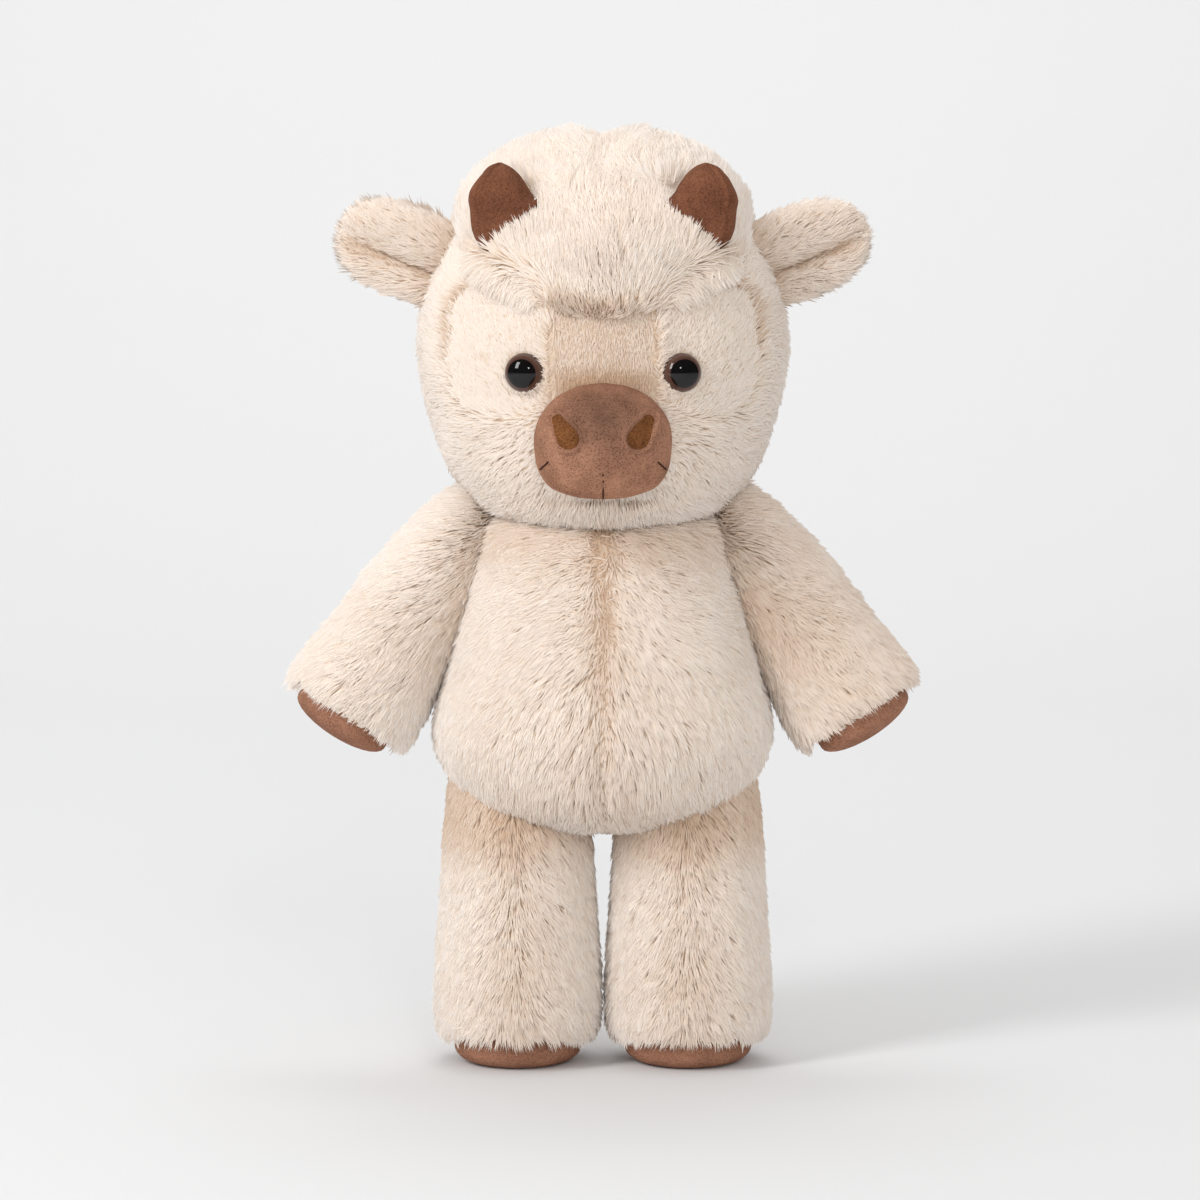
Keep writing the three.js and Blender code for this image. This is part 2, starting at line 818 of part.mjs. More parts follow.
function teardrop(length, halfWidth) {
  const shape = new THREE.Shape();
  const low = -length / 2 + halfWidth;
  shape.moveTo(0, length / 2);
  shape.quadraticCurveTo(-halfWidth, length / 4, -halfWidth, low);
  shape.absarc(0, low, halfWidth, Math.PI, 2 * Math.PI);
  shape.quadraticCurveTo(halfWidth, length / 4, 0, length / 2);
  return shape;
}

function bar(length, width) {
  return roundedOblong(width / 2, length / 2, width / 3);
}

function muzzle() {
  const group = new THREE.Group();
  const size = {
    base: muzzleHeight - muzzleHalfHeight,
    height: 2 * muzzleHalfHeight,
    halfWidth: muzzleHalfWidth,
    front: muzzleReach,
    back: muzzleReach,
    profile: ovalShares,
    y: -muzzleForward,
    outer: [12, 18],
    inner: [9, 12],
  };
  const face = solidOf(stuffed(headSize, -seamGap, headSize.outer));
  const outer = solidOf(stuffed(size, 0, size.outer)).subtract(face);
  const inner = solidOf(stuffed(size, suedeThickness, size.inner));
  const core = solidOf(stuffed(size, suedeThickness + seamGap, size.inner)).subtract(face);
  group.add(
    piece("muzzle_skin", outer.subtract(inner), suede),
    piece("muzzle_filling", core, fibrefill),
  );
  const raised = solidOf(stuffed(size, -seamGap - threadLift, size.outer));
  const below = solidOf(stuffed(size, -seamGap, size.outer));
  const sewn = (name, shape, x, z, lean) => {
    const turnedShape = new THREE.ExtrudeGeometry(shape, {
      depth: muzzleReach * 2,
      bevelEnabled: false,
      curveSegments: 5,
    });
    turnedShape.rotateZ(degrees(lean));
    turnedShape.rotateX(Math.PI / 2);
    turnedShape.translate(x, -muzzleForward + seamGap, z);
    group.add(piece(name, raised.subtract(below).intersect(solidOf(turnedShape)), thread));
  };
  for (const [side, name] of [[1, "left"], [-1, "right"]]) {
    sewn(
      name + "_nostril",
      teardrop(nostrilLength, nostrilHalfWidth),
      side * nostrilSide,
      muzzleHeight + nostrilRise,
      -side * nostrilLean,
    );
    sewn(
      name + "_lip_stitch",
      bar(lipStitchLength, threadWidth),
      side * lipStitchSide,
      muzzleHeight - lipStitchDrop,
      side * lipStitchLean,
    );
  }
  sewn("chin_stitch", bar(chinStitchLength, threadWidth), 0, muzzleHeight - chinStitchDrop, 0);
  return group;
}

function forelock() {
  const scalp = solidOf(stuffed(headSize, -seamGap, headSize.outer));
  const mop = solidOf(stuffed(forelockSize, 0, forelockSize.outer)).subtract(scalp);
  const holes = [1, -1].map((side) => hornForm(side, seamGap)).map((form) => solidOf(stuffed(form, 0, form.outer)));
  const hair = holes.reduce((left, hole) => left.subtract(hole), mop);
  const largest = hair.decompose().sort((a, b) => b.volume() - a.volume())[0];
  return piece("forelock", largest, plush);
}

function head() {
  const group = new THREE.Group();
  const wall = plushThickness - shortPlushDrop;
  const eyes = [eye(1, "left", wall), eye(-1, "right", wall)];
  const patchMiddle = patchInnerEdge + patchWidth / 2;
  const patch = [headBase + patchFootRise, patchWidth / 2, patchHeight, patchCorner];
  const panels = [
    facePanel("left_eye_patch", patchMiddle, ...patch),
    facePanel("right_eye_patch", -patchMiddle, ...patch),
    facePanel("nose_bridge", 0, headBase + bridgeFootRise, bridgeHalfWidth, bridgeHeight, bridgeCorner),
  ];
  const neck = bore(
    neckOpeningRadius,
    new THREE.Vector3(0, 0, headBase - cutOverrun),
    new THREE.Vector3(0, 0, headBase + headHeight / 4),
    24,
  );
  let skin = solidOf(stuffed(headSize, 0, headSize.outer))
    .subtract(solidOf(stuffed(headSize, plushThickness, headSize.inner)))
    .subtract(neck);
  let filling = solidOf(stuffed(headSize, plushThickness + seamGap, headSize.inner));
  for (const { panel, hole, name } of panels) {
    skin = skin.subtract(hole);
    const pierced = eyes.reduce((left, { shankHole }) => left.subtract(shankHole), panel);
    group.add(piece(name, pierced, shortPlush));
  }
  for (const { pocket, group: eyeGroup } of eyes) {
    filling = filling.subtract(pocket);
    group.add(eyeGroup);
  }
  group.add(piece("head_skin", skin, plush), piece("head_filling", filling, fibrefill));
  group.add(muzzle(), forelock());
  for (const [side, name] of [[1, "left"], [-1, "right"]]) group.add(horn(side, name), ear(side, name));
  return group;
}

// How far back the trunk's faceted surface lies at a height.
function backOfTrunk(z) {
  const trunkMesh = new THREE.Mesh(geometryOf(solidOf(stuffed(torsoSize, 0, torsoSize.outer))));
  const ray = new THREE.Raycaster(new THREE.Vector3(0, backReach * 2, z), new THREE.Vector3(0, -1, 0));
  return ray.intersectObject(trunkMesh)[0].point.y;
}

function tail() {
  const size = {
    base: tailRootHeight - tailLength,
    height: tailLength,
    halfWidth: tuftRadius,
    front: tuftRadius,
    back: tuftRadius,
    profile: tailShares,
    y: backOfTrunk(tailRootHeight - tailRadius) + seamGap + tailRadius,
  };
  return piece("tail", solidOf(stuffed(size, 0, [11, 10])), plush);
}

const cow = new THREE.Group();
cow.add(trunk(), head(), tail());
for (const [side, name] of [[1, "left"], [-1, "right"]]) cow.add(arm(side, name), leg(side, name));
const toyFront = muzzleForward + muzzleReach;
cow.position.y = (toyFront - napeReach) / 2;

export default cow;
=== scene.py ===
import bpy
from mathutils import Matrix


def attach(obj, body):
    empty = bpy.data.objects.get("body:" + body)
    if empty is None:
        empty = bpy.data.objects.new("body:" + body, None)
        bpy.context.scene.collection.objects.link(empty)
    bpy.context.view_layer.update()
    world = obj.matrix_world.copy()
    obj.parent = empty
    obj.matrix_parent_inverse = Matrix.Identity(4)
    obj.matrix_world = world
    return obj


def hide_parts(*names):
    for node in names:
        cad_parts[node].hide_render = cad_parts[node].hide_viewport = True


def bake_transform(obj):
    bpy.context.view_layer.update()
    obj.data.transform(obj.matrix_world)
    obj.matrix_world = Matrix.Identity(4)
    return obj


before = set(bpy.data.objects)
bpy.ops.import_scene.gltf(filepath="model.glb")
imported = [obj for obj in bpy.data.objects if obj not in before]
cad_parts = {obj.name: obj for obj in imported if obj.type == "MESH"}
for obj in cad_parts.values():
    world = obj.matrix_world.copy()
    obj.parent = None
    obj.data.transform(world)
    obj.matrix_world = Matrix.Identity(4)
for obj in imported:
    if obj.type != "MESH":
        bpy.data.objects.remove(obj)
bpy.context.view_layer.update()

import math
import bmesh
import bpy
import numpy as np
from mathutils import Matrix, Vector
from mathutils.bvhtree import BVHTree

# Forms are worked out in millimetres about the toy's own middle, and moved back by this much in y.
toyShift = 10.5
sides = ((1, "left"), (-1, "right"))
toy = {
    "skinDepth": 3.4,      # from the outside of the pile to the cloth under it
    "furPerMm2": 3.0,
    "pile": 8.8,
    "hairWidth": 0.39,
    "nap": 2.4,
}


# helpers
def deselectAll():
    if bpy.context.object and bpy.context.object.mode != "OBJECT":
        bpy.ops.object.mode_set(mode="OBJECT")
    bpy.ops.object.select_all(action="DESELECT")


def addObject(name, data):
    made = bpy.data.objects.new(name, data)
    bpy.context.scene.collection.objects.link(made)
    return made


def newSphere(name, segments, rings):
    # a sphere in Edit Mode, its editable mesh, and each vertex's share of the height and its direction
    deselectAll()
    bpy.ops.mesh.primitive_uv_sphere_add(segments=segments, ring_count=rings, radius=1)
    ball = bpy.context.object
    ball.name = name
    bpy.ops.object.mode_set(mode="EDIT")
    mesh = bmesh.from_edit_mesh(ball.data)
    points = np.array([v.co for v in mesh.verts])
    share = np.arccos(np.clip(-points[:, 2], -1, 1)) / math.pi
    return ball, mesh, share, np.arctan2(points[:, 1], points[:, 0])


def placeAll(piece, mesh, points):
    for vert, place in zip(mesh.verts, toMetres(points)):
        vert.co = place
    bmesh.update_edit_mesh(piece.data)


def closeEdit():
    # leaves Edit Mode with the faces turned outward
    bpy.ops.mesh.select_all(action="SELECT")
    bpy.ops.mesh.normals_make_consistent(inside=False)
    bpy.ops.object.mode_set(mode="OBJECT")


def readPoints(mesh, kind="co"):
    values = np.empty(len(mesh.vertices) * 3)
    mesh.vertices.foreach_get(kind, values)
    return values.reshape(-1, 3)


def carry(matrix, points):
    return points @ matrix[:3, :3].T + matrix[:3, 3]


def columns(x, y, z):
    # one vector to a point, each part of it a column or one number
    return np.column_stack(np.broadcast_arrays(x, y, z))


def toMetres(points):
    moved = np.array(points, float).reshape(-1, 3).copy()
    moved[:, 1] += toyShift
    return moved * 0.001


def toToy(points):
    local = np.array(points, float).reshape(-1, 3) * 1000.0
    local[:, 1] -= toyShift
    return local


def smooth(low, high, value):
    t = np.clip((np.asarray(value, float) - low) / (high - low), 0, 1)
    return t * t * (3 - 2 * t)


def unit(vectors):
    length = np.linalg.norm(vectors, axis=-1, keepdims=True)
    return vectors / np.maximum(length, 1e-9)


def ripple(points, size, phase=0.0):
    # a smooth wandering value from -1 to 1
    p = np.asarray(points, float) / size
    a = np.sin(p[:, 0] * 1.7 + 2.1 * np.sin(p[:, 1] * 1.3 + phase) + phase)
    b = np.sin(p[:, 1] * 1.9 + 1.7 * np.sin(p[:, 2] * 1.1 + 2 * phase) + 1.3)
    c = np.sin(p[:, 2] * 1.6 + 1.9 * np.sin(p[:, 0] * 1.2 - phase) + 2.6)
    return (a + b + c) / 3


def hashed(cells, salt):
    # the same number from 0 to 1 for the same cell, every time
    value = np.sin(cells @ np.array([12.9898, 78.233, 37.719]) + salt * 19.19) * 43758.5453
    return value - np.floor(value)


def smoothProfile(rows, perStep=14):
    # a centripetal curve through the rows of height, half-width and depth shares
    p = np.array(rows, float)
    p = np.vstack([2 * p[0] - p[1], p, 2 * p[-1] - p[-2]])
    out = []
    for i in range(1, len(p) - 2):
        p0, p1, p2, p3 = p[i - 1:i + 3]
        d0, d1, d2 = (max(np.linalg.norm(b - a) ** 0.5, 1e-4) for a, b in ((p0, p1), (p1, p2), (p2, p3)))
        t1 = ((p1 - p0) / d0 - (p2 - p0) / (d0 + d1) + (p2 - p1) / d1) * d1
        t2 = ((p2 - p1) / d1 - (p3 - p1) / (d1 + d2) + (p3 - p2) / d2) * d1
        for s in np.arange(perStep) / perStep:
            out.append(p1 + t1 * s + (-3 * p1 + 3 * p2 - 2 * t1 - t2) * s ** 2
                       + (2 * p1 - 2 * p2 + t1 + t2) * s ** 3)
    out.append(p[-2])
    fine = np.clip(np.array(out), 0, None)
    fine[:, 0] = np.clip(fine[:, 0], 0, 1)
    return fine


def formSizes(form, inset, share):
    # half-width, front and back reach at a share of the form's height
    fine = form["fine"]
    heights = np.maximum.accumulate(fine[:, 0] + np.arange(len(fine)) * 1e-9)
    width = np.interp(share, heights, fine[:, 1]) * (form["halfWidth"] - inset)
    depth = np.interp(share, heights, fine[:, 2])
    return width, depth * (form["front"] - inset), depth * (form["back"] - inset)


def insideForm(form, points, inset=0.0):
    # about how many millimetres inside the form each point lies, less than 0 outside
    p = carry(form["toLocal"], points) if "toLocal" in form else points
    share = (p[:, 2] - form["base"] - inset) / (form["height"] - 2 * inset)
    width, front, back = formSizes(form, inset, np.clip(share, 0, 1))
    reach = np.where(p[:, 1] < form.get("y", 0), front, back)
    q = np.sqrt(((p[:, 0] - form.get("x", 0)) / np.maximum(width, 0.5)) ** 2
                + ((p[:, 1] - form.get("y", 0)) / np.maximum(reach, 0.5)) ** 2)
    depth = (1 - q) * np.minimum(width, reach)
    ends = np.minimum(share, 1 - share) * form["height"]
    return np.where((share < 0) | (share > 1), -np.abs(ends) - 0.01, np.minimum(depth, ends + 3))


def stuffedSkin(name, form, inset, material, segments, rings):
    # a sphere whose rings are drawn out to the form's own outline
    skin, mesh, t, angle = newSphere(name, segments, rings)
    along = np.linspace(0, 1, len(form["fine"]))
    share, wide, deep = (np.interp(t, along, form["fine"][:, k]) for k in range(3))
    reach = np.where(np.sin(angle) < 0, form["front"], form["back"]) - inset
    local = columns(form.get("x", 0) + wide * (form["halfWidth"] - inset) * np.cos(angle),
                    form.get("y", 0) + deep * reach * np.sin(angle),
                    form["base"] + inset + share * (form["height"] - 2 * inset))
    placeAll(skin, mesh, carry(form["toWorld"], local) if "toWorld" in form else local)
    closeEdit()
    bpy.ops.object.shade_smooth()
    useMaterial(skin, material)
    return skin


def turnOutwards(piece):
    mesh = bmesh.new()
    mesh.from_mesh(piece.data)
    bmesh.ops.recalc_face_normals(mesh, faces=mesh.faces)
    if mesh.calc_volume(signed=True) < 0:
        bmesh.ops.reverse_faces(mesh, faces=mesh.faces)
    mesh.to_mesh(piece.data)
    mesh.free()
    piece.data.update()


def moveVertices(piece, change):
    # change takes and gives points in the toy's millimetres
    mesh = piece.data
    moved = toMetres(change(toToy(readPoints(mesh)), readPoints(mesh, "normal")))
    mesh.vertices.foreach_set("co", moved.ravel())
    mesh.update()


# colours and materials
# the pile's colours at a hair's root, middle and tip
hairStops = (0.0, 0.45, 0.95)
creamHair = ((0.765, 0.60, 0.455), (0.88, 0.775, 0.675), (0.905, 0.84, 0.786))
tanHair = ((0.44, 0.29, 0.185), (0.60, 0.42, 0.285), (0.70, 0.52, 0.375))
hairShadow = 0.8  # the share of the light that passes through a hair
# each brushed material: its dark and pale colours, its nap's scale and depth, and its roughness
naps = {
    "plush_backing": ((0.76, 0.64, 0.52), (0.80, 0.655, 0.51), 900, 0.4, 0.95),
    "brown_suede": ((0.155, 0.067, 0.04), (0.43, 0.212, 0.135), 1400, 1.0, 0.85),
    "muzzle_suede": ((0.105, 0.04, 0.022), (0.51, 0.258, 0.162), 1400, 1.0, 0.85),
    "horn_suede": ((0.075, 0.024, 0.012), (0.25, 0.10, 0.054), 1400, 1.0, 0.85),
    "nostril_thread": ((0.03, 0.01, 0.004), (0.27, 0.105, 0.037), 1350, 1.2, 0.75),
    "seam_thread": ((0.035, 0.013, 0.008), (0.07, 0.028, 0.017), 3000, 0.5, 0.8),
    "fibrefill": ((0.78, 0.76, 0.73), (0.93, 0.92, 0.9), 300, 0.5, 1.0),
    "pellet_bag_cloth": ((0.62, 0.58, 0.52), (0.76, 0.72, 0.66), 700, 0.5, 0.9),
    "washer_plastic": ((0.68, 0.68, 0.66), (0.74, 0.74, 0.72), 400, 0.1, 0.5),
}
# painted sheen on the muzzle: its middle is darkened so that the rim reads lighter, as suede does at grazing
# angles, along with the nap's own greyer tone there; in metres
muzzleSheenAndNap = {"middle": (0, -0.07, 0.245), "size": (0.024, 0.03, 0.021), "tone": (0.38, 0.38, 0.40)}


def newMaterial(name, colour, roughness):
    material = bpy.data.materials.new(name)
    material.use_nodes = True
    shader = material.node_tree.nodes["Principled BSDF"]
    shader.inputs["Base Color"].default_value = (*colour, 1)
    shader.inputs["Roughness"].default_value = roughness
    shader.inputs["Specular IOR Level"].default_value = 0.08
    material.diffuse_color = (*colour, 1)
    return material


def addNode(tree, kind, **values):
    node = tree.nodes.new(kind)
    for key, value in values.items():
        if hasattr(node, key):
            setattr(node, key, value)
        else:
            node.inputs[key.replace("_", " ")].default_value = value
    return node


def join(tree, *links):
    # each link names a node and its socket, then the node and the socket that it feeds
    for giver, out, taker, into in links:
        tree.links.new(giver.outputs[out], taker.inputs[into])


def addRamp(tree, stops, colours):
    node = addNode(tree, "ShaderNodeValToRGB")
    ramp = node.color_ramp
    while len(ramp.elements) < len(stops):
        ramp.elements.new(0.5)
    for element, place, colour in zip(ramp.elements, stops, colours):
        element.position = place
        element.color = (*colour, 1)
    return node


def addScale(tree, factor):
    node = addNode(tree, "ShaderNodeMath", operation="MULTIPLY")
    node.inputs[1].default_value = factor
    return node


def hairMaterial():
    # u runs from cream to tan hair, v from root to tip
    material = newMaterial("plush_hair", creamHair[-1], 1.0)
    tree = material.node_tree
    shader = tree.nodes["Principled BSDF"]
    shader.inputs["Specular IOR Level"].default_value = 0.0
    hairMap = addNode(tree, "ShaderNodeUVMap", uv_map="OFBake")
    split = addNode(tree, "ShaderNodeSeparateXYZ")
    cream = addRamp(tree, hairStops, creamHair)
    tan = addRamp(tree, hairStops, tanHair)
    mix = addNode(tree, "ShaderNodeMix", data_type="RGBA")
    join(tree, (hairMap, "UV", split, 0), (split, "Y", cream, "Fac"), (split, "Y", tan, "Fac"),
         (split, "X", mix, "Factor"), (cream, "Color", mix, "A"), (tan, "Color", mix, "B"),
         (mix, "Result", shader, "Base Color"))
    # a hair lets part of the light through, so its shadow on the next one is faint
    path = addNode(tree, "ShaderNodeLightPath")
    faint = addScale(tree, hairShadow)
    clear = addNode(tree, "ShaderNodeBsdfTransparent")
    blend = addNode(tree, "ShaderNodeMixShader")
    join(tree, (path, "Is Shadow Ray", faint, 0), (faint, 0, blend, 0), (shader, 0, blend, 1),
         (clear, 0, blend, 2), (blend, 0, tree.nodes["Material Output"], "Surface"))
    return material


def makeNapGroup():
    # short brushed nap: colour mottle and a height for the bump
    group = bpy.data.node_groups.new("suedeNap", "ShaderNodeTree")
    for label, way, kind in (("Dark", "INPUT", "Color"), ("Pale", "INPUT", "Color"),
                             ("Scale", "INPUT", "Float"), ("Colour", "OUTPUT", "Color"),
                             ("Height", "OUTPUT", "Float")):
        group.interface.new_socket(label, in_out=way, socket_type=f"NodeSocket{kind}")
    given = addNode(group, "NodeGroupInput")
    result = addNode(group, "NodeGroupOutput")
    place = addNode(group, "ShaderNodeTexCoord")
    weave = addNode(group, "ShaderNodeTexVoronoi", feature="F1")
    grain = addNode(group, "ShaderNodeTexNoise", Detail=6.0, Roughness=0.7)
    patchy = addNode(group, "ShaderNodeTexNoise", Scale=95.0, Detail=3.0, Roughness=0.6)
    fine = addScale(group, 0.9)
    both = addNode(group, "ShaderNodeMath", operation="ADD")
    spread = addNode(group, "ShaderNodeMapRange", From_Min=0.50, From_Max=0.98)
    wide = addNode(group, "ShaderNodeMapRange", From_Min=0.35, From_Max=0.65)
    # the mottle is two parts of grain to one of wide patches
    small, large = addScale(group, 0.66), addScale(group, 0.34)
    factor = addNode(group, "ShaderNodeMath", operation="ADD", use_clamp=True)
    mix = addNode(group, "ShaderNodeMix", data_type="RGBA")
    join(group, *((place, "Object", node, "Vector") for node in (weave, grain, patchy)),
         (given, "Scale", weave, "Scale"), (given, "Scale", grain, "Scale"), (weave, "Distance", fine, 0),
         (fine, 0, both, 0), (grain, "Fac", both, 1), (both, 0, spread, "Value"),
         (patchy, "Fac", wide, "Value"), (spread, 0, small, 0), (wide, 0, large, 0), (small, 0, factor, 0),
         (large, 0, factor, 1), (factor, 0, mix, "Factor"), (given, "Dark", mix, "A"),
         (given, "Pale", mix, "B"), (mix, "Result", result, "Colour"), (both, 0, result, "Height"))
    return group


def napMaterial(name, sheenAndNap=None):
    dark, pale, scale, bump, roughness = naps[name]
    material = newMaterial(name, pale, roughness)
    tree = material.node_tree
    nap = addNode(tree, "ShaderNodeGroup", node_tree=napGroup, Dark=(*dark, 1), Pale=(*pale, 1), Scale=scale)
    shader = tree.nodes["Principled BSDF"]
    lift = addNode(tree, "ShaderNodeBump", Strength=bump, Distance=0.0004)
    join(tree, (nap, "Colour", shader, "Base Color"), (nap, "Height", lift, "Height"),
         (lift, "Normal", shader, "Normal"))
    if sheenAndNap:
        # a darker, greyer middle with a soft edge: painted sheen that leaves the rim lighter, with the nap's
        # own greyer tone
        place = addNode(tree, "ShaderNodeTexCoord")
        centred = addNode(tree, "ShaderNodeMapping", vector_type="TEXTURE",
                          Location=sheenAndNap["middle"], Scale=sheenAndNap["size"])
        ball = addNode(tree, "ShaderNodeTexGradient", gradient_type="SPHERICAL")
        shade = addNode(tree, "ShaderNodeMix", data_type="RGBA", blend_type="MULTIPLY",
                        B=(*sheenAndNap["tone"], 1))
        join(tree, (place, "Object", centred, "Vector"), (centred, "Vector", ball, "Vector"),
             (ball, "Fac", shade, "Factor"), (nap, "Colour", shade, "A"),
             (shade, "Result", shader, "Base Color"))
    return material


napGroup = makeNapGroup()
hair = hairMaterial()
cloth = napMaterial("plush_backing")
suede = napMaterial("brown_suede")
muzzleSuede = napMaterial("muzzle_suede", muzzleSheenAndNap)
hornSuede = napMaterial("horn_suede")
stitching = napMaterial("nostril_thread")
seamThread = napMaterial("seam_thread")
filling = napMaterial("fibrefill")
pelletBag = napMaterial("pellet_bag_cloth")
washerPlastic = napMaterial("washer_plastic")
print("materials made")

# forms, as in the frame
profiles = {
    "torso": [(0, 0, 0), (.022, .33, .34), (.075, .63, .64), (.165, .885, .88), (.32, 1, 1), (.5, .93, .96),
              (.68, .85, .87), (.83, .77, .78), (.93, .7, .7), (.985, .45, .45), (1, 0, 0)],
    "head": [(0, 0, 0), (.014, .4, .5), (.06, .665, .79), (.17, .84, .93), (.345, .955, .99), (.49, 1, 1),
             (.62, .97, .97), (.75, .865, .88), (.86, .72, .74), (.945, .5, .52), (.987, .25, .26),
             (1, 0, 0)],
    "forelock": [(0, 0, 0), (.015, .26, .91), (.03, .385, .925), (.09, .6, .965), (.15, .78, .985),
                 (.27, .947, .97), (.36, .98, .925), (.49, 1, .85), (.61, .985, .75), (.73, .91, .63),
                 (.85, .76, .48), (.925, .58, .35), (.98, .31, .18), (1, 0, 0)],
    "arm": [(0, 0, 0), (.012, .17, .22), (.07, .36, .46), (.15, .52, .63), (.24, .63, .73), (.43, .79, .84),
            (.66, .88, .91), (.81, .96, .97), (.93, 1, 1), (.985, .9, .9), (1, .77, .78), (1, 0, 0)],
    "leg": [(0, 0, 0), (0, .76, .76), (.012, .9, .9), (.05, .985, .985), (.15, 1, 1), (.35, .955, .97),
            (.6, .89, .92), (.82, .86, .86), (.94, .66, .66), (.99, .3, .3), (1, 0, 0)],
    "oval": [(0, 0, 0), (.035, .36, .36), (.15, .71, .71), (.32, .93, .93), (.5, 1, 1), (.68, .93, .93),
             (.85, .71, .71), (.965, .36, .36), (1, 0, 0)],
    "tail": [(0, 0, 0), (.03, .4, .4), (.14, .85, .85), (.28, 1, 1), (.42, .75, .75), (.55, .571, .571),
             (.8, .571, .571), (.97, .571, .571), (1, 0, 0)],
    "horn": [(0, 0, 0), (.01, 1.25, 1.16), (.26, 1.22, 1.1), (.52, 1.14, 1), (.73, .98, .9), (.86, .75, .74),
             (.95, .45, .45), (1, 0, 0)],
}


def makeForm(profile, base, height, halfWidth, front, back, **more):
    rows = profiles[profile]
    if profile == "arm":
        rows = [(1 - h, w, d) for h, w, d in reversed(rows)]
    return {"fine": smoothProfile(rows), "base": base, "height": height, "halfWidth": halfWidth,
            "front": front, "back": back, **more}


torsoForm = makeForm("torso", 84, 128, 63, 53, 45)
headForm = makeForm("head", 201, 135, 68.5, 60, 62)
forelockForm = makeForm("forelock", 281, 67, 54, 66, 55)
tailForm = makeForm("tail", 84, 38, 7, 7, 7, y=47.4)
# each limb's hem lies above its end, and two fold points are given on it
arm = {"spread": 32.6, "top": (46, 0, 205), "length": 104, "above": 12, "halfWidth": 26, "halfDepth": 24.5,
       "offset": 2.2, "hem": 8, "foldFrom": (50, 0, 200), "foldTo": (62, 0, 172),
       "pad": {"radius": 19.0, "cuff": 9, "rim": 0.2, "height": 6.2, "flat": 0}}
leg = {"side": 31.9, "sole": 8.6, "height": 118, "halfWidth": 31.2, "front": 31, "back": 29.5,
       "hem": 7.2, "foldFrom": (31.9, -21, 98), "foldTo": (31.9, -21, 62),
       "pad": {"radius": 23.9, "cuff": 4, "rim": 2.4, "height": 8.25, "flat": 14.5}}
armForms, legForms = {}, {}
for side, name in sides:
    turn = Matrix.Translation((side * arm["top"][0], 0, arm["top"][2])) @ Matrix.Rotation(
        -side * math.radians(arm["spread"]), 4, "Y")
    armForms[name] = makeForm("arm", -arm["length"] + arm["above"], arm["length"], arm["halfWidth"],
                              arm["halfDepth"], arm["halfDepth"], x=side * arm["offset"],
                              toWorld=np.array(turn), toLocal=np.array(turn.inverted()))
    legForms[name] = makeForm("leg", leg["sole"], leg["height"], leg["halfWidth"], leg["front"], leg["back"],
                              x=side * leg["side"])
muzzle = {"halfWidth": 24.6, "halfHeight": 20.8, "reach": 26, "z": 235.5, "y": -57}
eye = {"radius": 7.1, "dome": 5.2, "back": 2.0, "side": 28.2, "y": -52.6, "z": 259.8, "turn": 14, "tilt": -3}
horn = {"base": 296, "height": 38.5, "radius": 11, "side": 34, "y": -43, "skin": 1.6,
        "hem": 320, "hemFrom": 23, "hemSlope": 0.7}
forelock = {"edge": 280.5, "edgeBow": 0.0088}


# fur
def surfaceOf(piece):
    # the triangles are sorted, because a new sphere's faces come in another order on each run
    tris = []
    for face in piece.data.polygons:
        ring = list(face.vertices)
        first = ring.index(min(ring))
        ring = ring[first:] + ring[:first]
        tris += [(ring[0], ring[k], ring[k + 1]) for k in range(1, len(ring) - 1)]
    return toToy(readPoints(piece.data)), np.array(sorted(tris)), readPoints(piece.data, "normal")


def scatterRoots(piece, perMm2, thin, seed):
    # random roots over the skin, thinned by thin(points)
    rng = np.random.default_rng(seed)
    co, tris, normals = surfaceOf(piece)
    a, b, c = (co[tris[:, k]] for k in range(3))
    area = np.linalg.norm(np.cross(b - a, c - a), axis=1) / 2
    count = int(area.sum() * perMm2)
    pick = rng.choice(len(tris), count, p=area / area.sum())
    u, v = rng.random(count), rng.random(count)
    over = u + v > 1
    u[over], v[over] = 1 - u[over], 1 - v[over]
    w = 1 - u - v
    share = np.column_stack([w, u, v])
    roots = (co[tris[pick]] * share[:, :, None]).sum(1)
    out = unit((normals[tris[pick]] * share[:, :, None]).sum(1))
    keep = rng.random(count) < thin(roots)
    return roots[keep], out[keep], rng


def nearestTuft(points, size):
    # each point's nearest jittered cell centre, and that cell
    home = np.floor(points / size)
    best = np.full(len(points), 1e9)
    centre = np.zeros_like(points)
    cell = np.zeros_like(points)
    for dx in (-1, 0, 1):
        for dy in (-1, 0, 1):
            for dz in (-1, 0, 1):
                near = home + (dx, dy, dz)
                jitter = np.column_stack([hashed(near, k) for k in (1, 2, 3)])
                place = (near + jitter) * size
                distance = ((place - points) ** 2).sum(1)
                closer = distance < best
                best[closer] = distance[closer]
                centre[closer] = place[closer]
                cell[closer] = near[closer]
    return centre, cell


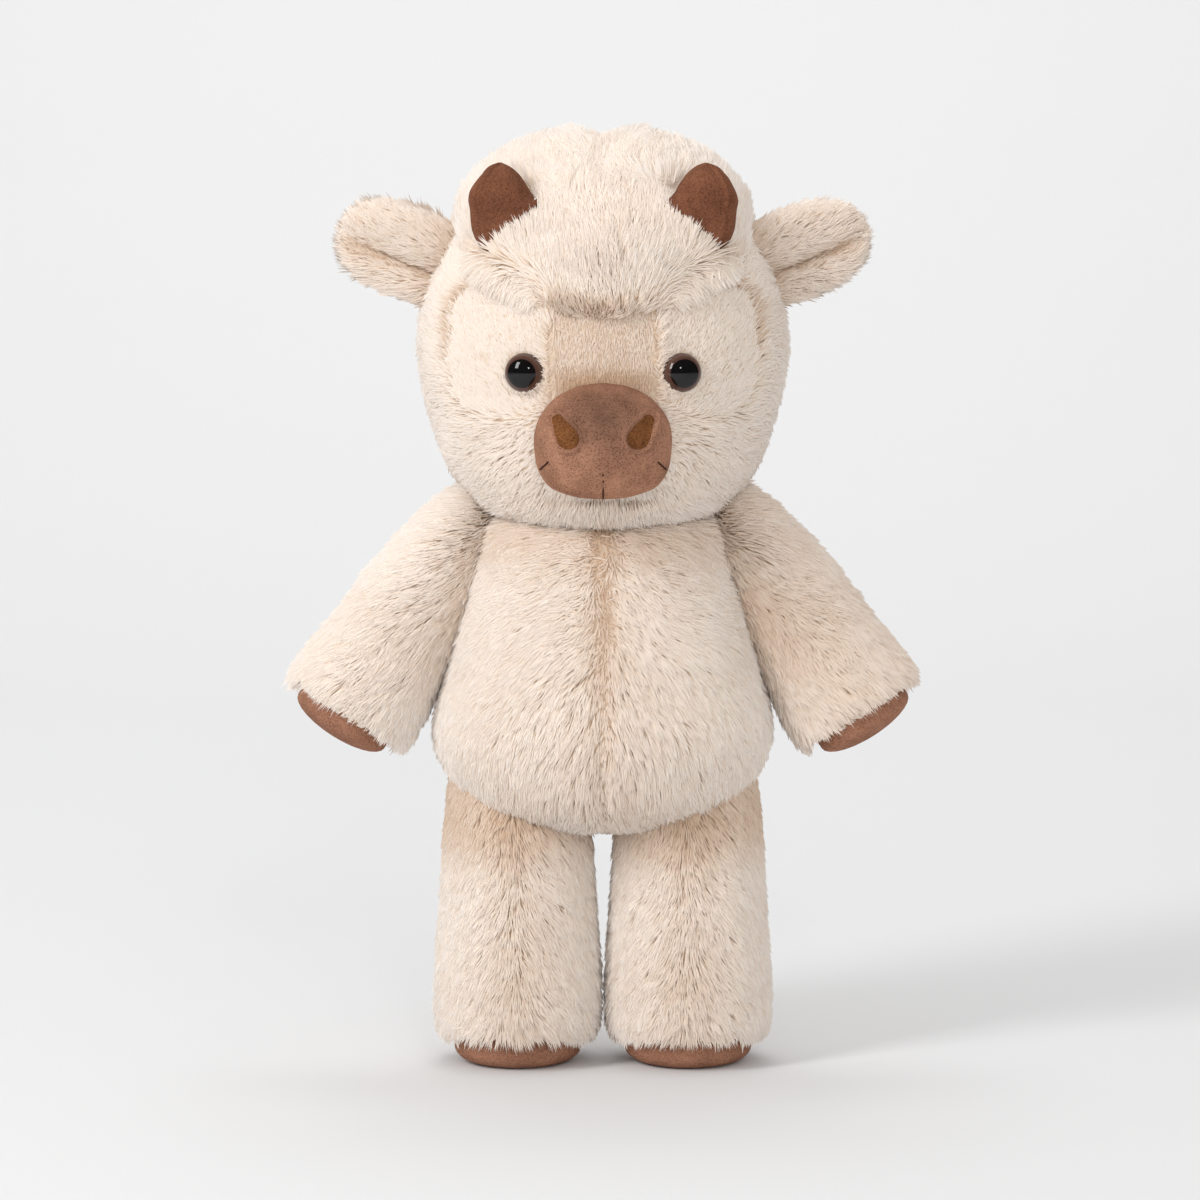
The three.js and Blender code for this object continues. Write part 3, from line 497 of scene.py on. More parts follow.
def growFur(name, skin, fur, seed, parts=1):
    # fur holds functions of the roots: comb, thin, pile and tint, and where it needs them lean and short
    roots, out, rng = scatterRoots(skin, fur.get("perMm2", toy["furPerMm2"]), fur["thin"], seed)
    count = len(roots)
    centre, cell = nearestTuft(roots, fur.get("tuft", 3.2))
    comb = fur["comb"](roots)
    loose = 1 - fur.get("short", lambda p: 0 * p[:, 0])(roots)[:, None]
    comb += 0.30 * np.column_stack([ripple(roots, 9, k) for k in (0.3, 1.9, 4.2)]) * (0.2 + 0.8 * loose)
    comb += 0.4 * (np.column_stack([hashed(cell, k) for k in (5, 6, 7)]) - 0.5) * (0.1 + 0.9 * loose)
    comb += 0.16 * rng.standard_normal((count, 3))
    comb = unit(comb - out * (comb * out).sum(1, keepdims=True))
    pile = fur["pile"](roots) * (0.9 + 0.16 * hashed(cell, 8)) * (0.84 + 0.28 * rng.random(count))
    lean = fur.get("lean", lambda p: 0.72 + 0 * p[:, 0])(roots) * (0.85 + 0.3 * rng.random(count))
    rise1 = unit(out * (1.2 - lean)[:, None] + comb * lean[:, None])
    rise2 = unit(out * (0.5 - 0.45 * lean)[:, None] + comb * (0.35 + lean)[:, None])
    toward = centre - roots
    toward -= out * (toward * out).sum(1, keepdims=True)
    pull = fur.get("pull", 0.5) * loose
    half = (pile * 0.5)[:, None]
    mid = roots + rise1 * half + toward * pull * 0.35
    tip = mid + rise2 * half + toward * pull * 0.65
    # a hair is a thin closed blade: a root, two points across its bend, and a tip
    roots = roots - out * 0.6
    axis = unit(tip - roots)
    sideways = unit(np.cross(axis, out + 0.001))
    sideways = unit(sideways + 0.35 * rng.standard_normal((count, 1)) * np.cross(sideways, axis))
    width = (toy["hairWidth"] * (0.75 + 0.5 * rng.random(count)))[:, None] / 2
    width *= 0.72 + 0.28 * loose
    verts = np.stack([roots, mid + sideways * width, mid - sideways * width, tip], 1)
    # soft shading: the outer side of a hair looks nearly the way the cloth does, its flanks as they lie
    root, one, two, end = (verts[:, k] for k in range(4))
    low, high = unit(np.cross(one - root, two - root)), unit(np.cross(two - end, one - end))
    flankOne = unit(unit(np.cross(end - root, one - root)) + 0.8 * out)
    flankTwo = unit(unit(np.cross(two - root, end - root)) + 0.8 * out)
    soft = [unit(out + 0.45 * low), unit(out + 0.45 * high)]
    turned = [0 * sideways, 0.4 * sideways, -0.4 * sideways]
    facing = np.stack([unit(soft[0] + t) for t in turned] + [unit(soft[1] + turned[k]) for k in (0, 2, 1)]
                      + [flankOne] * 3 + [flankTwo] * 3, 1)
    tint = np.clip(fur["tint"](roots) + 0.14 * (hashed(cell, 11) - 0.5) + 0.08 * ripple(roots, 14, 0.7)
                   + 0.05 * rng.standard_normal(count), 0.01, 0.99)
    order = np.argsort(roots[:, 1]) if parts > 1 else np.arange(count)
    made = []
    for index, group in enumerate(np.array_split(order, parts)):
        label = name if parts == 1 else f"{name}_{index + 1}"
        made.append(furMesh(label, verts[group], facing[group], tint[group]))
    print(name, count, "hairs in", parts)
    return made


def furMesh(name, verts, facing, tint):
    count = len(verts)
    corners = np.array([(0, 1, 2), (3, 2, 1), (0, 3, 1), (0, 2, 3)])
    faces = (np.arange(count)[:, None, None] * 4 + corners[None]).reshape(-1)
    mesh = bpy.data.meshes.new(name)
    mesh.vertices.add(count * 4)
    mesh.vertices.foreach_set("co", toMetres(verts).ravel())
    mesh.loops.add(count * 12)
    mesh.loops.foreach_set("vertex_index", faces.astype(np.int32))
    mesh.polygons.add(count * 4)
    mesh.polygons.foreach_set("loop_start", np.arange(count * 4, dtype=np.int32) * 3)
    mesh.polygons.foreach_set("use_smooth", np.ones(count * 4, dtype=bool))
    hairMap = mesh.uv_layers.new(name="OFBake")
    uv = np.empty((count, 12, 2))
    uv[:, :, 0] = tint[:, None]
    uv[:, :, 1] = np.array([0.02, 0.5, 0.5, 0.98])[corners].reshape(-1)[None]
    hairMap.data.foreach_set("uv", uv.ravel())
    mesh.update(calc_edges=True)
    mesh.validate()
    # each corner keeps its own normal only where the edges between the faces are sharp
    sharp = mesh.attributes.new("sharp_edge", "BOOLEAN", "EDGE")
    sharp.data.foreach_set("value", np.ones(len(mesh.edges), dtype=bool))
    mesh.normals_split_custom_set(facing.reshape(-1, 3))
    mesh.materials.append(hair)
    return addObject(name, mesh)


def useMaterial(piece, material):
    piece.data.materials.clear()
    piece.data.materials.append(material)


# trunk
def torsoComb(p):
    side = p[:, 0] / (np.abs(p[:, 0]) + 7)
    down = -0.35 - 1.5 * smooth(178, 118, p[:, 2])
    return columns(side * (1.1 - 0.5 * smooth(150, 100, p[:, 2])), 0, down)


def torsoThin(p):
    covers = (headForm, *armForms.values(), *legForms.values())
    hidden = np.maximum.reduce([insideForm(form, p, 6) for form in covers])
    return (hidden < 4).astype(float)


def torsoPile(p):
    seam = np.where(p[:, 1] < 0, smooth(0.2, 4.5, np.abs(p[:, 0])), 1)
    return toy["pile"] * (0.5 + 0.5 * seam) * (0.45 + 0.55 * smooth(86, 98, p[:, 2]))


def torsoTint(p):
    seam = np.where(p[:, 1] < 0, 1 - smooth(0.5, 6, np.abs(p[:, 0])), 0)
    stitched = np.where(p[:, 1] < 0, 1 - smooth(0.5, 2, np.abs(p[:, 0])), 0)
    # painted shade: the pile turns tan toward the top of the trunk, under the head; the tan along the front
    # seam and its stitching is the seam's own
    return 0.10 + 0.22 * seam * smooth(90, 140, p[:, 2]) + 0.30 * smooth(180, 203, p[:, 2]) \
        + 0.4 * stitched * smooth(140, 175, p[:, 2]) + 0.03 * smooth(34, 8, np.abs(p[:, 0]))


torsoSkin = stuffedSkin("torso_cloth", torsoForm, toy["skinDepth"], cloth, 72, 56)
torsoFur = growFur("torso_fur", torsoSkin, {
    "comb": torsoComb, "thin": torsoThin, "pile": torsoPile, "tint": torsoTint}, 11, parts=3)
for piece in (torsoSkin, *torsoFur):
    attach(piece, "torso")
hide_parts("torso_skin")

# head
face = {"patchInner": 19, "patchOuter": 54, "patchFoot": 243, "patchTop": 292, "corner": 15, "bridge": 17,
        "shortPile": 3.4}


def forelockEdge(p):
    # how far above its lower edge on the brow each point of the forelock lies
    return p[:, 2] - (forelock["edge"] + forelock["edgeBow"] * p[:, 0] ** 2)


def patchMask(p):
    # 1 inside an eye patch, fading out over its lower edge
    x, z = np.abs(p[:, 0]), p[:, 2]
    middleX = (face["patchInner"] + face["patchOuter"]) / 2
    middleZ = (face["patchFoot"] + face["patchTop"]) / 2
    halfX, halfZ = (face["patchOuter"] - face["patchInner"]) / 2, (face["patchTop"] - face["patchFoot"]) / 2
    dx = np.abs(x - middleX) - (halfX - face["corner"])
    dz = np.abs(z - middleZ) - (halfZ - face["corner"])
    away = np.hypot(np.maximum(dx, 0), np.maximum(dz, 0)) - face["corner"]
    edge = 1 - smooth(-0.8, 0.8, away)
    return edge * smooth(236, 252, z) * (p[:, 1] < -5)


def bridgeMask(p):
    x = np.abs(p[:, 0])
    return (1 - smooth(face["bridge"] - 0.5, face["bridge"] + 1.5, x)) * smooth(228, 236, p[:, 2]) \
        * (1 - smooth(296, 300, p[:, 2])) * (p[:, 1] < -5)


def shortMask(p):
    return np.maximum(patchMask(p), bridgeMask(p))


def fromEye(p):
    return np.hypot(np.abs(p[:, 0]) - eye["side"], p[:, 2] - eye["z"])


def onFace(p):
    return p[:, 1] < -30


def headComb(p):
    front = smooth(15, -25, p[:, 1])[:, None]
    fromMuzzle = unit(p - np.array([0, muzzle["y"], muzzle["z"] + 6])) + np.array([0, 0, -0.25])
    back = columns(p[:, 0] * 0.006, 0.25, -1)
    bridge = bridgeMask(p)[:, None]
    patch = patchMask(p)[:, None]
    comb = fromMuzzle * front + back * (1 - front)
    comb = comb * (1 - bridge) + np.array([0, 0, -1.0]) * bridge
    upward = columns(p[:, 0] * 0.012, 0, 0.8)
    comb = comb * (1 - patch) + upward * patch
    toEye = unit(columns(np.sign(p[:, 0]) * eye["side"] - p[:, 0], 0, eye["z"] - p[:, 2]))
    lashes = lash(p)[:, None]
    return comb * (1 - lashes) + toEye * lashes


def headThin(p):
    under = np.where((p[:, 1] > -20) | (forelockEdge(p) > 3), insideForm(forelockForm, p, 6), -9)
    hidden = np.maximum(under, insideForm(torsoForm, p, 8))
    inMuzzle = 1 - np.sqrt((p[:, 0] / 22) ** 2 + ((p[:, 2] - muzzle["z"]) / 18.5) ** 2)
    covered = (hidden > 5) | (((inMuzzle > 0) | (fromEye(p) < 6)) & onFace(p))
    return (~covered) * (0.70 + 0.30 * np.maximum(shortMask(p), chinMask(p)))


def headPile(p):
    short = shortMask(p)
    nearMuzzle = smooth(21, 34, np.hypot(p[:, 0] / 1.15, p[:, 2] - muzzle["z"])) * 0.5 + 0.5
    nearMuzzle = np.where((p[:, 1] < -20) & (p[:, 2] > 216), nearMuzzle, 1)
    return (toy["pile"] * nearMuzzle) * (1 - short) + face["shortPile"] * short + 3 * lash(p)


def lash(p):
    # longer pile round the foot of each eye
    return smooth(10, 8, fromEye(p)) * smooth(258, 255, p[:, 2]) * onFace(p)


def chinMask(p):
    # tidier pile close under the muzzle
    away = np.hypot(p[:, 0], p[:, 2] - muzzle["z"])
    return 0.7 * smooth(33, 27, away) * smooth(226, 219, p[:, 2]) * onFace(p)


def patchEdge(p):
    mask = patchMask(p)
    return 4 * mask * (1 - mask) * smooth(258, 268, p[:, 2])


def headTint(p):
    x, z = np.abs(p[:, 0]), p[:, 2]
    # painted shade: the bridge's pile darkens toward the forelock's foot, and browShade is painted shade in
    # a band just above the muzzle
    browShade = smooth(26, 8, x) * smooth(266, 257, z) * smooth(245, 250, z) * onFace(p)
    chin = smooth(216, 208, z) * smooth(4, 1, x) * onFace(p)
    return 0.01 + 0.38 * bridgeMask(p) * smooth(245, 262, z) + 0.75 * browShade + 0.6 * patchEdge(p) \
        + 0.3 * chin


headSkin = stuffedSkin("head_cloth", headForm, toy["skinDepth"], cloth, 120, 90)
headFur = growFur("head_fur", headSkin, {
    "comb": headComb, "thin": headThin, "pile": headPile, "tint": headTint,
    "short": lambda p: np.maximum(shortMask(p), chinMask(p)),
    "lean": lambda p: 0.74 - 0.2 * smooth(222, 208, p[:, 2]) - 0.42 * lash(p),
    "perMm2": 4.2, "tuft": 2.8, "pull": 0.35}, 23, parts=4)
for piece in (headSkin, *headFur):
    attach(piece, "head")
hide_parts("head_skin", "left_eye_patch", "right_eye_patch", "nose_bridge")


# forelock
def hornHem(p):
    # how far above the fur's edge on the horns each point lies
    return p[:, 2] - (horn["hem"] - (np.abs(p[:, 0]) - horn["hemFrom"]) * horn["hemSlope"])


def forelockFoot(p, reach):
    # 1 at the forelock's lower edge on the brow, falling to 0 at the reach above it
    return smooth(reach, 0, forelockEdge(p)) * (p[:, 1] < -20)


def forelockComb(p):
    fan = p - np.array([0, -42, 238])
    back = columns(p[:, 0] * 0.004, 0.8, -0.5)
    front = smooth(20, -10, p[:, 1])[:, None]
    # the pile at the outer foot hangs down over the brow
    hang = columns(np.sign(p[:, 0]) * 0.75, 0, -0.9)
    sides = smooth(12, 26, np.abs(p[:, 0])) * smooth(13, 4, forelockEdge(p)) * smooth(-1, -7, hornHem(p))
    sides = sides[:, None]
    return (unit(fan) * (1 - sides) + hang * sides) * front + back * (1 - front)


def forelockThin(p):
    horns = np.hypot(np.abs(p[:, 0]) - horn["side"] - 1, p[:, 1] - horn["y"])
    clear = (horns > 12.5) | (hornHem(p) < -1)
    onBrow = (p[:, 1] < -20) & (forelockEdge(p) < -1)
    return ((insideForm(headForm, p, 6) < 4) & clear & ~onBrow).astype(float)


def partForelock(p, n):
    # the crown falls in two soft locks, and the foot thins out over the brow
    part = np.exp(-(p[:, 0] / 6) ** 2) * smooth(320, 335, p[:, 2])
    p = p.copy()
    share = np.clip((p[:, 2] - headForm["base"]) / headForm["height"], 0, 1)
    width, front, _ = formSizes(headForm, toy["skinDepth"], share)
    brow = -front * np.sqrt(np.clip(1 - (p[:, 0] / np.maximum(width, 1)) ** 2, 0, 1))
    edge = forelockEdge(p)
    faired = brow + (p[:, 1] - brow) * smooth(-4, 26, edge) + 6 * smooth(1, -4, edge)
    p[:, 1] += (faired - p[:, 1]) * smooth(-8, -16, p[:, 1])
    p[:, 2] -= 2.6 * part
    # room round the front of each horn, above the fur's edge
    near = smooth(17, 11, np.hypot(np.abs(p[:, 0]) - 33, p[:, 1] + 46)) * smooth(-3, 3, hornHem(p))
    p[:, 1] += 7 * near * (p[:, 1] < -12)
    # and a low mound of fur at its foot
    hem = hornHem(p)
    mound = smooth(2.5, -3, hem) * smooth(-26, -3, hem) * np.exp(-((np.abs(p[:, 0]) - 36) / 13) ** 2)
    p[:, 1] -= 6.5 * mound * smooth(-8, -20, p[:, 1])
    return p


forelockLow = {**forelockForm, "base": forelockForm["base"] - 8, "height": forelockForm["height"] + 8}
forelockSkin = stuffedSkin("forelock_cloth", forelockLow, 3.6, cloth, 80, 60)
moveVertices(forelockSkin, partForelock)
# the tan at the forelock's foot is partly its seam and partly painted shade in the crease under its edge
forelockFur = growFur("forelock_fur", forelockSkin, {
    "comb": forelockComb, "thin": forelockThin, "pile": lambda p: 11.5 - 3 * forelockFoot(p, 6),
    "tint": lambda p: 0.04 + 0.34 * forelockFoot(p, 4), "short": lambda p: 0.3 * forelockFoot(p, 4),
    "tuft": 3.6}, 31, parts=2)
for piece in (forelockSkin, *forelockFur):
    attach(piece, "head")
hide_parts("forelock")


# arms and legs
def dome(name, matrix, radius, cuff, rim, height, flat):
    # a suede pad: a disc extruded down its cuff, then drawn in ring by ring
    deselectAll()
    bpy.ops.mesh.primitive_circle_add(vertices=64, radius=radius, fill_type="NGON", location=(0, 0, 0))
    pad = bpy.context.object
    pad.name = name
    bpy.ops.object.mode_set(mode="EDIT")
    bpy.ops.mesh.select_all(action="SELECT")
    bpy.ops.transform.translate(value=(0, 0, cuff))
    bpy.ops.mesh.extrude_region_move(TRANSFORM_OT_translate={"value": (0, 0, -rim - cuff)})
    steps = 8
    last = radius
    for i in range(1, steps + 1):
        angle = i / steps * math.pi / 2
        across = flat + (radius - flat) * math.cos(angle)
        drop = (height - rim) * (math.sin(angle) - math.sin((i - 1) / steps * math.pi / 2))
        bpy.ops.mesh.extrude_region_move(TRANSFORM_OT_translate={"value": (0, 0, -drop)})
        factor = max(across, 0.2) / last
        bpy.ops.transform.resize(value=(factor, factor, 1))
        last = max(across, 0.2)
    closeEdit()
    pad.data.transform(matrix)
    pad.data.vertices.foreach_set("co", toMetres(readPoints(pad.data)).ravel())
    bpy.ops.object.shade_smooth()
    useMaterial(pad, suede)
    return pad


def sewLimb(body, form, skin, fur, limb, side, pad, padNode):
    # the filling is made, the skin, its fur and the filling are set where they stand, and the pad moves with
    # the limb
    stuffing = stuffedSkin(f"{body}_stuffing", form, toy["skinDepth"] + 2.8, filling, 40, 36)
    start, end = toMetres([(side * x, y, z) for x, y, z in (limb["foldFrom"], limb["foldTo"])])
    for piece in (skin, *fur, stuffing):
        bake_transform(piece)
    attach(pad, body)
    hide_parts(f"{body}_skin")
    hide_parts(f"{body}_filling")
    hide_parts(padNode)


def makeArm(side, name):
    form = armForms[name]
    body = f"{name}_arm"
    down = -form["toWorld"][:3, 2]
    outward = form["toWorld"][:3, 0] * side

    def comb(p):
        fan = smooth(-60, 0, carry(form["toLocal"], p)[:, 2])[:, None]
        return down + outward * (0.35 + 0.5 * fan) + np.array([0, 0.1, 0])

    def thin(p):
        hidden = np.maximum(insideForm(torsoForm, p, 6), insideForm(headForm, p, 6))
        local = carry(form["toLocal"], p)
        return ((hidden < 4) & (local[:, 2] > form["base"] + 0.8)).astype(float)

    def pile(p):
        # only a nap below the hem, round the pad
        local = carry(form["toLocal"], p)
        hem = form["base"] + arm["hem"] + 3.5 * smooth(2, -14, local[:, 1]) + 1.5 * ripple(p, 5, side)
        return np.where(local[:, 2] > hem, toy["pile"] + 1, toy["nap"])

    def tint(p):
        local = carry(form["toLocal"], p)
        # painted shade: the left arm, on the side away from the key light, is tinted darker than the right,
        # and the inner side darkens toward the armpit
        armpitShade = smooth(4, -12, local[:, 0] * side)
        return 0.16 + 0.11 * side + 0.40 * armpitShade * smooth(-80, -20, local[:, 2])

    skin = stuffedSkin(f"{body}_cloth", form, toy["skinDepth"], cloth, 48, 48)
    fur = growFur(f"{body}_fur", skin, {"comb": comb, "thin": thin, "pile": pile, "tint": tint}, 41 + side)
    # the suede stands a little off the cloth's end
    seat = Matrix(form["toWorld"]) @ Matrix.Translation((side * arm["offset"], 0, form["base"] - 0.35))
    pad = dome(f"{name}_hand_pad_suede", seat, **arm["pad"])
    sewLimb(body, form, skin, fur, arm, side, pad, f"{name}_hand_pad")


def makeLeg(side, name):
    form = legForms[name]
    body = f"{name}_leg"
    hem = form["base"] + leg["hem"]

    def comb(p):
        x = (p[:, 0] - form["x"]) / 12
        fan = x / (np.abs(x) + 0.5)
        return columns(fan * 0.75, 0, -1)

    def thin(p):
        hidden = insideForm(torsoForm, p, 6)
        return ((hidden < 4) & (p[:, 2] > form["base"] + 1.5)) * np.where(p[:, 2] > hem, 1, 0.6)

    def pile(p):
        return np.where(p[:, 2] > hem, toy["pile"] * (1 - 0.35 * smooth(86, 106, p[:, 2])), toy["nap"])

    def tint(p):
        x = np.abs(p[:, 0] - form["x"])
        # painted shade: the top of each leg, under the belly, is tinted tan
        return 0.10 + 0.55 * smooth(74, 98, p[:, 2]) + 0.14 * smooth(12, 2, x) * (p[:, 1] < 0)

    skin = stuffedSkin(f"{body}_cloth", form, toy["skinDepth"], cloth, 56, 48)
    fur = growFur(f"{body}_fur", skin, {"comb": comb, "thin": thin, "pile": pile, "tint": tint}, 51 + side)
    seat = Matrix.Translation((form["x"], 0, leg["pad"]["height"]))
    pad = dome(f"{name}_sole_pad_suede", seat, **leg["pad"])
    sewLimb(body, form, skin, fur, leg, side, pad, f"{name}_sole_pad")


for side, name in sides:
    makeArm(side, name)
    makeLeg(side, name)
print("limbs made")


# ears
ear = {"side": 47, "z": 293, "length": 56, "halfWidth": 17.4, "layer": 5.2, "rise": 21, "sweep": 8,
       "fold": -0.22, "upperLobe": 6.5, "lowerLobe": 3.2}
earOutline = [(0, .84), (.25, .93), (.5, 1), (.7, .95), (.86, .72), (.96, .4), (1, 0)]


def makeEar(side, name):
    place = np.array(Matrix.Translation((side * ear["side"], 0, ear["z"]))
                     @ Matrix.Rotation(-side * math.radians(ear["rise"]), 4, "Y")
                     @ Matrix.Rotation(-side * math.radians(ear["sweep"]), 4, "Z"))
    fine = smoothProfile([(u, w, 0) for u, w in earOutline])
    skin, mesh, t, angle = newSphere(f"{name}_ear_cloth", 48, 40)
    u = np.clip(t, 0, 1) ** 0.9
    root = np.sqrt(np.clip(t * 12, 0, 1))
    half = np.interp(u, fine[:, 0], fine[:, 1]) * (ear["halfWidth"] - 3.5) * root
    v = np.cos(angle)
    thick = (ear["layer"] - 3.2) * np.sqrt(np.clip(1 - u ** 4, 0.02, 1)) * root
    fold = ear["fold"]
    upper = np.sqrt(np.clip(1 - ((v - (1 + fold) / 2) / ((1 - fold) / 2)) ** 2, 0, 1))
    lower = np.sqrt(np.clip(1 - ((v - (fold - 1) / 2) / ((1 + fold) / 2)) ** 2, 0, 1))
    lobes = np.where(v > fold, ear["upperLobe"] * upper, ear["lowerLobe"] * lower) * (1 - u ** 5)
    cup = 2.4 - 5.0 * np.abs(v) ** 2 * (1 - u * u)
    front = np.sin(angle) < 0
    deep = thick * np.sin(angle) + cup - lobes * front * root
    placeAll(skin, mesh, carry(place, columns(side * u * (ear["length"] - 4), deep, v * half)))
    bpy.ops.object.mode_set(mode="OBJECT")
    bpy.ops.object.shade_smooth()
    turnOutwards(skin)
    useMaterial(skin, cloth)
    inverse = np.linalg.inv(place)
    along = place[:3, 0] * side
    across = place[:3, 2]

    def comb(p):
        v = (carry(inverse, p)[:, 2] / ear["halfWidth"])[:, None]
        return along + across * v * 0.6

    def crease(p):
        q = carry(inverse, p)
        line = np.exp(-((q[:, 2] / ear["halfWidth"] - ear["fold"]) / 0.17) ** 2)
        return line * smooth(54, 38, np.abs(q[:, 0])) * smooth(4, 0, q[:, 1])

    def thin(p):
        hidden = np.maximum(insideForm(headForm, p, 6), insideForm(forelockForm, p, 6))
        return (hidden < 2).astype(float)

    def tint(p):
        q = carry(inverse, p)
        front = smooth(3, 0, q[:, 1])
        # painted shade: the inner face is tinted tan in its fold and toward its root
        return 0.06 + front * (0.65 * crease(p) + 0.12 + 0.34 * smooth(20, 6, np.abs(q[:, 0])))

    def pile(p):
        return (8.0 - 5.4 * crease(p)) * (1 - 0.35 * smooth(42, 52, np.abs(carry(inverse, p)[:, 0])))

    fur = growFur(f"{name}_ear_fur", skin, {
        "comb": comb, "thin": thin, "pile": pile, "tint": tint, "tuft": 2.6, "perMm2": 3.4}, 61 + side)
    for piece in (skin, *fur):
        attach(piece, f"{name}_ear")
    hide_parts(f"{name}_ear_lining", f"{name}_ear_back")


for side, name in sides:
    makeEar(side, name)

# tail
tailSkin = stuffedSkin("tail_cloth", tailForm, 2.4, cloth, 24, 32)
tailFur = growFur("tail_fur", tailSkin, {
    "comb": lambda p: np.zeros_like(p) + (0, 0, -1), "thin": lambda p: np.ones(len(p)),
    "pile": lambda p: np.full(len(p), 5.5), "tint": lambda p: np.full(len(p), 0.15), "tuft": 2.5}, 71)
for piece in (tailSkin, *tailFur):
    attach(piece, "tail")
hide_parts("tail")

# muzzle
muzzleForm = makeForm("oval", muzzle["z"] - muzzle["halfHeight"], 2 * muzzle["halfHeight"],
                      muzzle["halfWidth"], muzzle["reach"], muzzle["reach"], y=muzzle["y"])
nostril = {"side": 13.8, "z": 239.8, "length": 13.6, "halfWidth": 4.1, "tip": 2.3, "lean": 30}


def nostrilReach(p):
    # how far inside a nostril's outline each point lies, seen from the front
    best = np.full(len(p), -1e3)
    for side in (1, -1):
        x, z = p[:, 0] - side * nostril["side"], p[:, 2] - nostril["z"]
        lean = math.radians(nostril["lean"]) * side
        along = z * math.cos(lean) + x * math.sin(lean)
        across = x * math.cos(lean) - z * math.sin(lean)
        low = -nostril["length"] / 2 + nostril["halfWidth"]
        high = nostril["length"] / 2 - nostril["tip"]
        share = np.clip((along - low) / (high - low), 0, 1)
        width = nostril["halfWidth"] + (nostril["tip"] - nostril["halfWidth"]) * share ** 1.5
        centre = np.clip(along, low, high)
        best = np.maximum(best, width - np.hypot(across, along - centre))
    return best


def shapeMuzzle(p, n):
    reach = nostrilReach(p)
    front = p[:, 1] < muzzle["y"] - 4
    rim = np.exp(-((reach + 0.75) / 0.5) ** 2) * 1.15
    dip = -1.3 * smooth(-0.3, 0.9, reach)
    seam = -0.5 * np.exp(-(p[:, 0] / 0.6) ** 2) * smooth(225.5, 220.5, p[:, 2])
    wobble = 0.25 * ripple(p, 7, 1.1)
    moved = p + n * (np.where(front, rim + dip + seam, 0) + wobble)[:, None]
    high = np.clip((p[:, 2] - muzzle["z"]) / muzzle["halfHeight"], -0.995, 0.995)
    bend = np.where(high < 0, 2.85, 2.15)
    full = (1 - np.abs(high) ** bend) ** (1 / bend) / np.sqrt(1 - high ** 2)
    moved[:, 0] *= np.minimum(full, 1.3)
    return moved


muzzleSkin = stuffedSkin("muzzle_suede", muzzleForm, 0, muzzleSuede, 270, 190)
moveVertices(muzzleSkin, shapeMuzzle)
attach(muzzleSkin, "head")
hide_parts("muzzle_skin")
muzzleTree = BVHTree.FromObject(muzzleSkin, bpy.context.evaluated_depsgraph_get())


def onMuzzle(x, z):
    # the place and outward direction on the muzzle behind a point of the front view
    start = Vector(toMetres([(x, -140, z)])[0])
    hit, normal, _, _ = muzzleTree.ray_cast(start, Vector((0, 1, 0)))
    if hit is None:
        start.y += 0.07
        hit, normal, _, _ = muzzleTree.find_nearest(start)
    return hit, normal


def makeNostril(side, name):
    # a filled outline whose rim sinks into the suede, with its back drawn inside the muzzle
    deselectAll()
    bpy.ops.mesh.primitive_circle_add(vertices=56, radius=1, fill_type="NGON", location=(0, 0, 0))
    patch = bpy.context.object
    patch.name = f"{name}_nostril_embroidery"
    bpy.ops.object.mode_set(mode="EDIT")
    for _ in range(7):
        bpy.ops.mesh.inset(thickness=0.12)
    bpy.ops.mesh.poke()
    bpy.ops.mesh.select_all(action="SELECT")
    bpy.ops.object.mode_set(mode="OBJECT")
    flat = np.array([v.co for v in patch.data.vertices])
    turn = np.arctan2(flat[:, 0], flat[:, 1])
    share = np.hypot(flat[:, 0], flat[:, 1])
    reach = np.full(len(flat), 12.0)
    for _ in range(24):
        # step in along each direction until the outline is met
        x, z = np.sin(turn) * reach, np.cos(turn) * reach
        p = columns(side * nostril["side"] + x, 0, nostril["z"] + z)
        reach += np.minimum(nostrilReach(p), 0) * 0.8
    x, z = np.sin(turn) * reach * share * 1.03, np.cos(turn) * reach * share * 1.03
    for vert, dx, dz, s in zip(patch.data.vertices, x, z, share):
        hit, normal = onMuzzle(side * nostril["side"] + dx, nostril["z"] + dz)
        vert.co = hit + normal * (0.0006 - 0.0010 * max(0.0, s - 0.8) / 0.2)
    bpy.ops.object.mode_set(mode="EDIT")
    bpy.ops.mesh.select_all(action="SELECT")
    bpy.ops.mesh.extrude_region_move(TRANSFORM_OT_translate={"value": (0, 0.0012, 0)})
    bpy.ops.object.mode_set(mode="OBJECT")
    bpy.ops.object.shade_smooth()
    turnOutwards(patch)
    useMaterial(patch, stitching)
    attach(patch, "head")
    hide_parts(f"{name}_nostril")


def sew(name, node, runs, thick):
    # threads lying along lines on the muzzle, pressed half into it
    curve = bpy.data.curves.new(name, "CURVE")
    curve.dimensions = "3D"
    for points in runs:
        line = curve.splines.new("POLY")
        line.points.add(len(points) - 1)
        for point, (x, z) in zip(line.points, points):
            hit, normal = onMuzzle(x, z)
            point.co = (*(hit + normal * 0.0001), 1)
        line.points[0].radius = line.points[-1].radius = 0.4
    curve.bevel_depth = thick
    curve.bevel_resolution = 3
    curve.use_fill_caps = True
    seam = addObject(name, curve)
    deselectAll()
    seam.select_set(True)
    bpy.context.view_layer.objects.active = seam
    bpy.ops.object.convert(target="MESH")
    bpy.ops.object.shade_smooth()
    turnOutwards(seam)
    useMaterial(seam, seamThread)
    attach(seam, "head")
    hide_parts(node)


